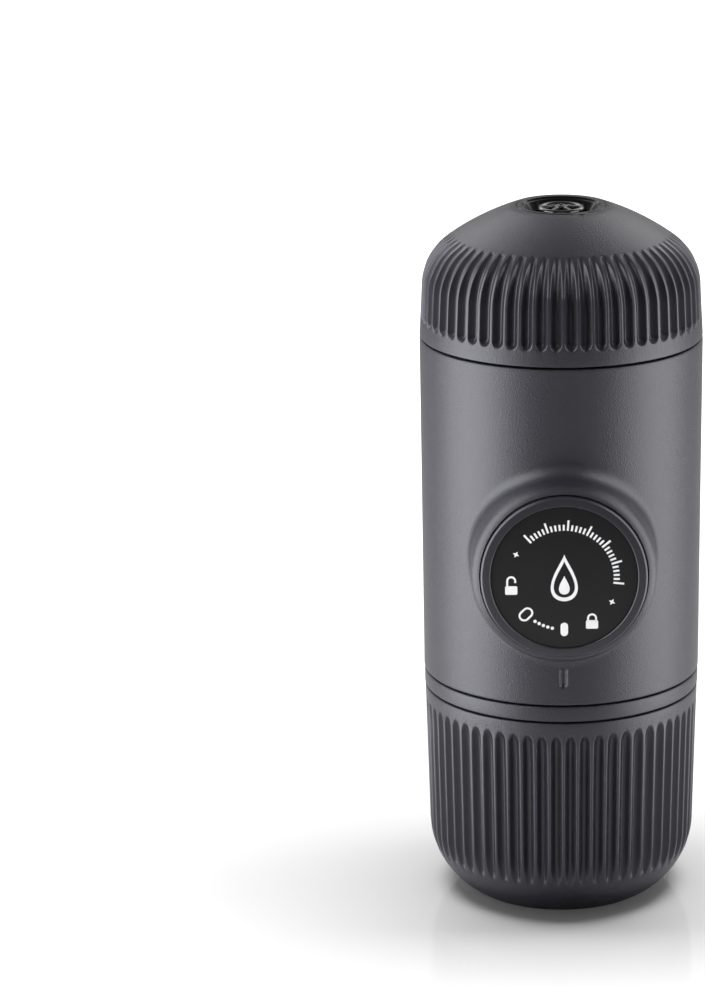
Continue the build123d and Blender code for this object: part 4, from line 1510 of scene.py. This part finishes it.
@dataclass
class Dial:
    """Generic white print on the button's black face: bars, dots, padlocks, a scale, a drop."""

    face: float
    ring_radius: float = 11.5
    ink: float = 0.06
    line: float = 0.42
    bar_length: float = 3.0
    bar_width: float = 1.6
    dot_radius: float = 0.36
    dot_angles: tuple[float, ...] = (-12.8, -17.8, -22.8, -27.8, -32.8)
    star_radii: tuple[float, float] = (0.75, 0.32)
    lock_half_width: float = 1.3
    lock_bottom: float = -1.5
    lock_top: float = 0.4
    lock_round: float = 0.3
    shackle_radius: float = 0.85
    shackle_foot: float = 0.3
    open_lift: float = 0.7
    open_gap: float = 1.2
    scale_angles: tuple[float, float, float] = (84.0, 222.0, 4.6)
    scale_radius: float = 10.5
    tick_lengths: tuple[float, ...] = (2.3, 1.3, 1.3, 1.3, 1.3)
    drop_half_height: float = 5.2
    drop_half_width: float = 4.1
    drop_line: tuple[float, float] = (0.78, -0.32)
    drop_core: tuple[float, float] = (0.4, -1.6)

    def build(self, finishes: Finishes) -> None:
        """Print every mark as one thin piece."""
        self.skin = Skin("dial_print")
        self._bar(Mark.LOCKED_BAR, filled=True)
        self._bar(Mark.UNLOCKED_BAR, filled=False)
        for angle in self.dot_angles:
            self._pad(self._placed(star(16, self.dot_radius, self.dot_radius), angle))
        self._padlock(Mark.CLOSED_PADLOCK, lift=0.0)
        self._padlock(Mark.OPEN_PADLOCK, lift=self.open_lift)
        for mark in (Mark.RIGHT_STAR, Mark.LEFT_STAR):
            self._pad(self._placed(star(8, *self.star_radii), mark.value))
        self._scale()
        self._drop()
        finishes.fit(self.skin, Slot.BLACK, "knob_disc", own=finishes.print, stands_in=False)

    def _on_face(self, flat: Array, lift: float) -> Array:
        """Points over the face for flat (right, up) ones, at a lift off it."""
        across, up = flat[..., 0], flat[..., 1]
        return PUMP_AXIS.place(np.hypot(across, up), np.arctan2(across, up), self.face + lift)

    def _out(self, angle_deg: float, radius: float) -> Array:
        """Flat point at a radius and an angle from straight down."""
        turn = math.radians(angle_deg)
        return np.array([math.sin(turn), -math.cos(turn)]) * radius

    def _placed(self, flat: Array, angle_deg: float, radius: float | None = None) -> Array:
        """Move a mark out along its angle, its own down pointing outwards."""
        turn = math.radians(angle_deg)
        spin = np.array([[math.cos(turn), math.sin(turn)], [-math.sin(turn), math.cos(turn)]])
        return flat @ spin + self._out(angle_deg, radius or self.ring_radius)

    def _pad(self, loop: Array) -> None:
        """Print a filled shape whose border is seen whole from its middle."""
        bottom, top = self._on_face(loop, 0.0), self._on_face(loop, self.ink)
        self.skin.add_grid(np.stack([bottom, top]), wrap_columns=True)
        self.skin.add_fan(top)
        self.skin.add_fan(bottom)

    def _line(self, left: Array, right: Array, closed: bool) -> None:
        """Print what lies between two flat borders."""
        loops = [
            self._on_face(border, lift)
            for border, lift in ((left, 0.0), (left, self.ink), (right, self.ink), (right, 0.0))
        ]
        grid = np.stack(loops, axis=1)
        self.skin.add_grid(grid, wrap_rows=closed, wrap_columns=True)
        if not closed:
            self.skin.add_fan(grid[0])
            self.skin.add_fan(grid[-1])

    def _stroke(self, path: Array, closed: bool = False) -> None:
        """Print a line of even width along a path.

        Its sides lie half the width to the left and right of the path's headings.
        """
        if closed:
            heading = np.roll(path, -1, axis=0) - np.roll(path, 1, axis=0)
        else:
            heading = np.gradient(path, axis=0)
        heading /= np.linalg.norm(heading, axis=1, keepdims=True)
        side = np.stack([-heading[:, 1], heading[:, 0]], axis=-1) * self.line / 2
        self._line(path + side, path - side, closed)

    def _bar(self, mark: Mark, filled: bool) -> None:
        """Print a bar with round ends, filled or only its line."""
        width = self.bar_width if filled else self.bar_width + self.line
        turn = np.linspace(0, math.pi, 13)
        radius, straight = width / 2, (self.bar_length - width) / 2
        end = np.stack([radius * np.cos(turn), straight + radius * np.sin(turn)], axis=-1)
        loop = self._placed(np.concatenate([end, -end]), mark.value)
        if filled:
            self._pad(loop)
        else:
            self._stroke(loop, closed=True)

    def _padlock(self, mark: Mark, lift: float) -> None:
        """Print an upright padlock, whose shackle stands clear on one side when it is lifted."""
        middle = self._out(mark.value, self.ring_radius)
        half, bow, foot = self.lock_half_width, self.shackle_radius, self.shackle_foot
        corner = self.lock_round
        box = block(-half, half, self.lock_bottom, self.lock_top, corner, corner)
        self._pad(box + middle)
        bend = np.linspace(math.pi, 0, 13)
        arch = np.stack([bow * np.cos(bend), bow + lift + bow * np.sin(bend)], axis=-1)
        fast, loose = [[-bow, foot]], [[bow, foot + self.open_gap * lift]]
        self._stroke(np.concatenate([fast, arch, loose]) + middle)

    def _scale(self) -> None:
        """Print a scale of fine ticks over the top, every fifth one long."""
        for i, angle in enumerate(np.arange(*self.scale_angles)):
            tick = np.array([[0, 0.0], [0, -self.tick_lengths[i % len(self.tick_lengths)]]])
            self._stroke(self._placed(tick, angle, self.scale_radius))

    def _drop(self) -> None:
        """Print a drop in the middle: x = w sin(t) |sin(t / 2)|^1.5 and y = h cos(t).

        Its line lies between that drop and a smaller one set a little lower, round a core.
        """
        turn = np.linspace(0, TURN, 72, endpoint=False)
        across = self.drop_half_width * np.sin(turn) * np.abs(np.sin(turn / 2)) ** 1.5
        drop = np.stack([across, self.drop_half_height * np.cos(turn)], axis=-1)
        inner, core = (
            size * drop + np.array([0, lower]) for size, lower in (self.drop_line, self.drop_core)
        )
        self._line(drop, inner, closed=True)
        self._pad(core)


@dataclass
class PumpButton:
    """Round button: grained ring and skirt, black face with its print.

    The ring's face falls outwards from a crest beside the lip round the black face.
    """

    skirt_wall: float = 1.7
    bevel: float = 0.5
    bevel_width: float = 0.36
    face_fall: float = 0.16
    lip: float = 0.2
    web: float = 2.0
    face_gap: float = 0.04
    back_gap: float = 0.01
    well_radius: float = 5.2
    well_depth: float = 1.6
    screw_bore: float = 3.05
    ring_smoothness: float = 0.7

    def build(self, finishes: Finishes) -> None:
        """Build the ring, the face and the print."""
        low, high = corners_of("knob_shell")
        front, skirt_end = -low[1], -high[1]
        radius, skirt = high[0], high[0] - self.skirt_wall
        disc_radius = DISC_HIGH[0]
        disc_front, disc_back = -DISC_LOW[1], -DISC_HIGH[1]
        pocket = disc_radius + self.face_gap
        well = disc_back - self.well_depth
        section = rounded(
            [
                (skirt, skirt_end, 0.3),
                (radius, skirt_end, 0.5),
                (radius, front - self.bevel, 0.3),
                (radius - self.bevel_width, front - self.face_fall, 0.35),
                (pocket + self.lip, front, 0.15),
                (pocket, front - self.lip, 0.03),
                (pocket, disc_back - self.back_gap, 0.02),
                (self.well_radius, disc_back - self.back_gap, 0.02),
                (self.well_radius, well, 0.05),
                (self.screw_bore, well, 0.05),
                (self.screw_bore, well - self.web, 0.05),
                (skirt, well - self.web, 0.5),
            ],
            steps=5,
        )
        ring = turned("button_ring", section, 256, PUMP_AXIS, self.ring_smoothness)
        finishes.fit(ring, Slot.SHELL, "knob_shell")

        face = rounded(
            [
                (0, disc_back, 0),
                (disc_radius, disc_back, 0.05),
                (disc_radius, disc_front, 0.12),
                (0, disc_front, 0),
            ]
        )
        finishes.fit(turned("button_face", face, 256, PUMP_AXIS), Slot.BLACK, "knob_disc")
        Dial(face=disc_front).build(finishes)


@dataclass
class PumpSpring:
    """Round-wire return spring behind the button, stretched as the button comes out."""

    coil_radius: float = 9.6
    wire_radius: float = 0.55
    turns: float = 6.5
    closed_share: float = 0.12
    least_pace: float = 0.08
    steps: int = 460

    def build(self, finishes: Finishes) -> None:
        """Coil that turns evenly, with its ends wound close.

        The distance along the pump axis grows with the turn at an even pace, which slows down
        by a smooth step at both ends.
        """
        low, high = corners_of("return_spring")
        back, front = -high[1] + self.wire_radius, -low[1] - self.wire_radius
        share = np.linspace(0, 1, self.steps)
        pace = np.minimum(eased(share / self.closed_share), eased((1 - share) / self.closed_share))
        run = np.concatenate([[0], np.cumsum((pace[1:] + pace[:-1]) / 2 + self.least_pace)])
        reach = between(back, front, run / run[-1])
        path = PUMP_AXIS.place(self.coil_radius, share * self.turns * TURN, reach)
        skin = Skin("return_coil")
        skin.add_tube(path, self.wire_radius)
        piece = skin.build()
        piece.data.materials.append(finishes.wire)
        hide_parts("return_spring")
        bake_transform(piece)
        log.info("%s: stretches with the button", piece.name)


# ---------------------------------------------------------------- tank


@dataclass
class Tank:
    """Fluted dome with the threaded neck that screws into the top of the barrel."""

    wall_height: float = 11.5
    wall_radius: float = 30.4
    shoulder_rise: float = 9.4
    shoulder_radius: float = 25.3
    crown_radius: float = 10.5
    wall: float = 2.2
    neck_radius: float = 26.4
    neck_edge: float = 0.3
    edge: float = 0.35
    seat_play: float = 0.05
    seat_radius: float = 9.0
    seat_depth: float = 2.5
    vent_bore: float = 7.95
    collar_radius: float = 11.2
    collar_depth: float = 5.3
    collar_clear: float = 0.6
    lip_width: float = 0.15
    lip_falls: tuple[float, float] = (0.02, 0.12)
    thread_rises: tuple[float, float] = (2.6, 5.6)
    thread_height: float = 0.5
    run_out: tuple[float, float] = (23.24, 149.2)
    flutes: Flutes = field(default_factory=Flutes)
    thread: Thread = field(default_factory=Thread)

    def build(self, finishes: Finishes) -> None:
        """Dome, crown seat, lining and neck as one closed skin, then the thread and its ring."""
        low, high = corners_of("tank_shell")
        crown, neck_bottom, rim = high[2], low[2], high[0]
        seam = corners_of("body_shell")[1][2] + SEAM
        side_top = seam + self.wall_height
        shape = ShellOutline(
            rim=(rim, seam),
            shoulder=(self.wall_radius, side_top),
            ends=(
                (self.shoulder_radius, side_top + self.shoulder_rise),
                (self.crown_radius, crown),
            ),
            run_out=self.run_out,
            rim_round=self.edge,
            stops_past_side=((0.0, 4), (10.5, 20), (15.0, 14)),
            end_steps=8,
        )
        grid, smooth, angle = fluted_wall(shape, self.flutes)
        skin = Skin("tank_dome")
        skin.add_grid(grid, wrap_columns=True, smooth=smooth)

        outline = shape.outline()
        place, inward = outline.at(np.linspace(outline.run[-1], shape.side_length() / 4, 14))
        lining = place + inward * self.wall
        lining = lining[lining[:, 0] > self.collar_radius + self.collar_clear]
        bore, edge = self.neck_radius - self.wall, self.neck_edge
        neck = [
            (bore, lining[-1, 1]),
            (bore, neck_bottom + edge),
            (bore + edge, neck_bottom),
            (self.neck_radius - edge, neck_bottom),
            (self.neck_radius, neck_bottom + edge),
            (self.neck_radius, seam),
            *eased_edge(rim, seam, self.edge)[:0:-1],
        ]
        inside = BARREL_AXIS.turn(np.concatenate([self._crown_seat(crown), lining, neck]), angle)
        skin.add_grid(np.concatenate([grid[-1:], inside, grid[:1]]), wrap_columns=True)
        finishes.fit(skin, Slot.SHELL, "tank_shell")

        ridges = Skin("tank_thread")
        for rise in self.thread_rises:
            self.thread.add_to(ridges, self.neck_radius, neck_bottom + rise, self.thread_height)
        finishes.fit(ridges, Slot.SHELL, "tank_shell", stands_in=False)

        low, high = corners_of("tank_seal")
        section = block(bore + self.seat_play, high[0], low[2], high[2], 0.25, 0.25)
        finishes.fit(turned("tank_ring", section), Slot.SILICONE, "tank_seal")

    def _crown_seat(self, crown: float) -> Array:
        """Stepped bore in the crown, from the lip round it down to the foot of its collar."""
        seat = corners_of("vent_housing")[1][0] + self.seat_play
        ledge, step = crown - VENT_FLANGE, crown - self.seat_depth
        foot = crown - self.collar_depth
        outer_fall, inner_fall = self.lip_falls
        return np.array(
            [
                (self.crown_radius - self.lip_width, crown - outer_fall),
                (seat, crown - inner_fall),
                (seat, ledge),
                (self.seat_radius, ledge),
                (self.seat_radius, step),
                (self.vent_bore, step),
                (self.vent_bore, foot),
                (self.collar_radius, foot),
            ]
        )


@dataclass
class AirVent:
    """Black ring with a well in the crown, and a spoked wheel over the air valve."""

    body_radius: float = 7.9
    bore: float = 1.45
    step_radius: float = 8.8
    step_depth: float = 0.45
    step_insets: tuple[float, float] = (0.35, 0.75)
    well_radius: float = 6.9
    well_draft: float = 0.3
    well_depth: float = 3.6
    slope_depth: float = 2.1
    tab_turn_deg: float = 24.0
    tab_half_width_deg: float = 11.0
    tab_reach: float = 1.25
    tab_start: float = 0.4
    tab_ramps: tuple[float, float] = (0.3, 0.5)
    wheel_ring: float = 0.74
    skirt_insets: tuple[float, float] = (0.4, 0.35)
    wheel_lift: float = 0.65
    hub_radii: tuple[float, float] = (1.3, 1.5)
    hub_height: float = 1.6
    hub_fall: float = 0.1
    dimple_radii: tuple[float, float] = (0.7, 0.5)
    dimple_depth: float = 0.4
    spokes: int = 5
    spoke_radius: float = 0.5
    spoke_start: float = 0.9
    spoke_depth: float = 0.75
    spoke_rise: float = 0.15

    def build(self, finishes: Finishes) -> None:
        """Build the ring with its tab, and the wheel."""
        low, high = corners_of("vent_housing")
        top, bottom, rim = high[2], low[2], high[0]
        well, flange, step = top - self.well_depth, top - VENT_FLANGE, top - self.step_depth
        section = rounded(
            [
                (self.bore, bottom, 0.1),
                (self.body_radius, bottom, 0.3),
                (self.body_radius, flange, 0.05),
                (rim, flange, 0.1),
                (rim, top, 0.35),
                (self.step_radius, top, 0.25),
                *((self.step_radius - inset, step, 0.12) for inset in self.step_insets),
                (self.well_radius, top - self.slope_depth, 0.8),
                (self.well_radius - self.well_draft, well, 1.0),
                (self.bore, well, 0.1),
            ],
            steps=6,
        )
        angle = np.linspace(0, TURN, 240, endpoint=False)
        radius = section[:, None, 0] + self._tab(section, flange)[:, None] * self._lobe(angle)
        skin = Skin("vent_ring")
        ring = BARREL_AXIS.place(radius, angle, section[:, None, 1])
        skin.add_grid(ring, wrap_rows=True, wrap_columns=True)
        finishes.fit(skin, Slot.BLACK, "vent_housing", own=finishes.vent)
        self._build_wheel(finishes, well)

    def _lobe(self, angle: Array) -> Array:
        """Reach of the tab at each angle: half a cosine over its width, and 0 elsewhere."""
        offset = np.angle(np.exp(1j * (angle - math.radians(self.tab_turn_deg))))
        share = np.clip(offset / math.radians(self.tab_half_width_deg), -1, 1)
        return self.tab_reach * np.cos(share * math.pi / 2)

    def _tab(self, section: Array, flange: float) -> Array:
        """Share of the tab's reach that each point of the section takes: only the outer rim."""
        out, up = self.tab_ramps
        outside = eased((section[:, 0] - self.step_radius - self.tab_start) / out)
        return outside * eased((section[:, 1] - flange) / up)

    def _build_wheel(self, finishes: Finishes, floor: float) -> None:
        """Ring on a thin skirt, spokes that rise to a hub with a dimple."""
        _, high = corners_of("vent_grille")
        radius, top = high[0], high[2] + self.wheel_lift
        ring = self.wheel_ring
        skirt_foot, skirt_top = (radius - inset for inset in self.skirt_insets)
        section = rounded(
            [
                (radius - 2 * ring, floor, 0.1),
                (skirt_foot, floor, 0.1),
                (skirt_top, top - 2 * ring, 0.1),
                (radius, top - ring, 0.5),
                (radius - ring, top, 0.5),
                (radius - 2 * ring, top - ring, 0.5),
            ],
            steps=6,
        )
        skin = turned("vent_wheel", section, 128)
        foot, bottom = top - self.hub_height, top - self.dimple_depth
        middle = rounded(
            [
                (0, foot, 0),
                (self.hub_radii[0], foot, 0.2),
                (self.hub_radii[1], top - self.hub_fall, 0.35),
                (self.dimple_radii[0], top, 0.2),
                (self.dimple_radii[1], bottom, 0.15),
                (0, bottom, 0),
            ]
        )
        skin.add_lathe(middle, 64)
        share = np.linspace(0, 1, 10)
        reach = between(self.spoke_start, radius - ring, share)
        height = top - self.spoke_depth + self.spoke_rise * np.cos(share * math.pi)
        for spoke in range(self.spokes):
            path = BARREL_AXIS.place(reach, (spoke + 0.5) * TURN / self.spokes, height)
            skin.add_tube(path, self.spoke_radius)
        finishes.fit(skin, Slot.BLACK, "vent_grille", own=finishes.wheel)


# ---------------------------------------------------------------- inner nodes


class InnerNodes:
    """CAD nodes that keep their own shape and only get a finish."""

    SLOTS = {
        Slot.INNER: (
            "group_head", "tank_socket", "pump_cylinder", "cylinder_cap", "inlet_tube",
            "outlet_tube", "piston",
        ),
        Slot.SIEVE: ("inlet_strainer",),
        Slot.STEEL: (
            "chassis_screws", "screen_screw", "knob_screw", "inlet_spring", "outlet_spring",
            "inlet_ball", "outlet_ball",
        ),
        Slot.SILICONE: ("piston_seal", "vent_seal", "vent_valve"),
    }

    def dress(self, finishes: Finishes) -> None:
        """Give each node the material of its slot."""
        for slot, nodes in self.SLOTS.items():
            for name in nodes:
                node = frame["nodes"][name]
                node.data.materials.clear()
                node.data.materials.append(finishes.of(slot))
            log.info("%s: %d CAD nodes", slot.value, len(nodes))


# ---------------------------------------------------------------- studio


class Lights(Enum):
    """What a lamp lights, each with how the floor is linked to it."""

    PART = "EXCLUDE"
    FLOOR = "INCLUDE"


@dataclass(frozen=True)
class SoftBox:
    """Rectangular lamp on a circle round the barrel, aimed at a point on the axis."""

    name: str
    lights: Lights
    turn_deg: float
    distance: float
    height: float
    aim_height: float
    size: tuple[float, float]
    radiance: float

    def add(self, floor: bpy.types.Object) -> None:
        """Hang the lamp, unseen by the camera.

        A lamp of radiance L and area A gives the power pi A L.

        Args:
            floor: The floor, which a lamp may light alone or leave out.
        """
        width, height = (side * MM for side in self.size)
        data = bpy.data.lights.new(self.name, "AREA")
        data.shape = "RECTANGLE"
        data.size, data.size_y = width, height
        data.energy = math.pi * width * height * self.radiance
        lamp = bpy.data.objects.new(self.name, data)
        place = BARREL_AXIS.place(self.distance, math.radians(self.turn_deg), self.height)
        direction = Vector(np.array([0.0, 0.0, self.aim_height]) - place)
        lamp.matrix_world = Matrix.Translation(Vector(place * MM)) @ (
            direction.to_track_quat("-Z", "Y").to_matrix().to_4x4()
        )
        lamp.visible_camera = False
        bpy.context.scene.collection.objects.link(lamp)
        lit = bpy.data.collections.new(f"{self.name}_lights")
        lit.objects.link(floor)
        lit.collection_objects[0].light_linking.link_state = self.lights.value
        lamp.light_linking.receiver_collection = lit
        if self.lights is Lights.PART:
            lamp.light_linking.blocker_collection = lit


@dataclass
class Studio:
    """Camera, white floor and room, and soft boxes: beside, behind, before and overhead."""

    camera_distance: float = 864.6
    camera_height: float = 343.2
    camera_turn_deg: float = -0.95
    camera_tilt_deg: float = 16.37
    lens: float = 146.5
    shift_x: float = -0.2087
    clip_m: tuple[float, float] = (0.05, 50.0)
    boxes: tuple[SoftBox, ...] = (
        SoftBox("left_box", Lights.PART, -71.0, 160.0, 135.0, 135.0, (155.0, 330.0), 6.3),
        SoftBox("right_box", Lights.PART, 75.0, 160.0, 135.0, 135.0, (150.0, 330.0), 4.5),
        SoftBox("left_rear_box", Lights.PART, -146.0, 500.0, 520.0, 80.0, (320.0, 440.0), 2.7),
        SoftBox("right_rear_box", Lights.PART, 146.0, 500.0, 520.0, 80.0, (300.0, 420.0), 2.75),
        SoftBox("front_box", Lights.PART, 0.0, 420.0, 430.0, 80.0, (320.0, 280.0), 0.75),
        SoftBox("floor_box", Lights.FLOOR, 180.0, 12.0, 700.0, 0.0, (700.0, 260.0), 12.9),
    )
    front_light: float = 0.03
    rear_light: float = 0.5
    top_light: float = 0.24
    rear_span: tuple[float, float] = (-0.1, 0.7)
    top_span: tuple[float, float] = (0.45, 0.95)
    floor_size: float = 12000.0
    floor_colour: float = 0.80
    floor_roughness: float = 0.07
    floor_glow: float = 0.04
    shadow_radius: tuple[float, float] = (60.0, 420.0)

    def build(self) -> None:
        """Set the view up."""
        self._build_camera()
        floor = self._build_floor()
        for box in self.boxes:
            box.add(floor)
        self._build_world()
        bpy.context.scene.view_settings.view_transform = "Standard"

    def _build_camera(self) -> None:
        """Camera on its measured place, level but for its tilt."""
        turn = math.radians(self.camera_turn_deg)
        data = bpy.data.cameras.new("camera")
        data.lens = self.lens
        data.shift_x = self.shift_x
        data.clip_start, data.clip_end = self.clip_m
        camera = bpy.data.objects.new("camera", data)
        place = BARREL_AXIS.place(self.camera_distance, turn, self.camera_height)
        camera.location = Vector(place * MM)
        camera.rotation_euler = (math.radians(90 - self.camera_tilt_deg), 0, turn)
        bpy.context.scene.collection.objects.link(camera)
        bpy.context.scene.camera = camera

    def _build_floor(self) -> bpy.types.Object:
        """Glossy white floor, lit as it is near the object and pure white to the camera beyond."""
        half = self.floor_size * MM / 2
        mesh = bpy.data.meshes.new("floor")
        corners = [(-half, -half, 0), (half, -half, 0), (half, half, 0), (-half, half, 0)]
        mesh.from_pydata(corners, [], [(0, 1, 2, 3)])
        floor = bpy.data.objects.new("floor", mesh)
        bpy.context.scene.collection.objects.link(floor)
        shader = Shader("white_floor")
        shader.set(Base_Color=(self.floor_colour,) * 3 + (1,), Roughness=self.floor_roughness)
        away = shader.add("VectorMath", operation="LENGTH")
        shader.join(shader.object_place(), away.inputs[0])
        near, far = self.shadow_radius
        fade = shader.ramp(away.outputs["Value"], near * MM, far * MM, self.floor_glow, 1.0)
        seen = shader.add("LightPath").outputs["Is Camera Ray"]
        shader.set(
            Emission_Color=(1, 1, 1, 1), Emission_Strength=shader.reckon("MULTIPLY", seen, fade)
        )
        floor.data.materials.append(shader.material)
        return floor

    def _build_world(self) -> None:
        """Backdrop and room.

        The camera and clear pieces see white all round. Light and gloss come from a room that
        is white behind the object, pale above and dim in front.
        """
        world = bpy.data.worlds.new("studio")
        bpy.context.scene.world = world
        world.use_nodes = True
        nodes = Nodes(world.node_tree)
        way = nodes.add("SeparateXYZ")
        nodes.join(nodes.add("TexCoord").outputs["Generated"], way.inputs[0])
        rear = nodes.ramp(way.outputs["Y"], *self.rear_span, self.front_light, self.rear_light)
        top = nodes.ramp(way.outputs["Z"], *self.top_span, 0.0, self.top_light)
        strength = nodes.reckon("MAXIMUM", rear, top)
        room = nodes.tree.nodes["Background"]
        room.inputs["Color"].default_value = (1, 1, 1, 1)
        nodes.join(strength, room.inputs["Strength"])
        white = nodes.add("Background", Color=(1, 1, 1, 1), Strength=1.0)
        ray = nodes.add("LightPath").outputs
        mix = nodes.add("MixShader")
        seen = nodes.reckon("MAXIMUM", ray["Is Camera Ray"], ray["Is Transmission Ray"])
        for source, target in zip((seen, room.outputs[0], white.outputs[0]), mix.inputs):
            nodes.join(source, target)
        nodes.join(mix.outputs[0], nodes.tree.nodes["World Output"].inputs["Surface"])


# ---------------------------------------------------------------- assembly


def main() -> None:
    """Build the studio and dress every sub-assembly, bottom to top."""
    logging.basicConfig(level=logging.INFO, format="%(name)s %(message)s")
    Studio().build()
    finishes = Finishes()
    Cup().build(finishes)
    OutletHead().build(finishes)
    BrewParts().build(finishes)
    Barrel().build(finishes)
    PumpButton().build(finishes)
    PumpSpring().build(finishes)
    Tank().build(finishes)
    AirVent().build(finishes)
    InnerNodes().dress(finishes)


if __name__ == "__main__":
    main()
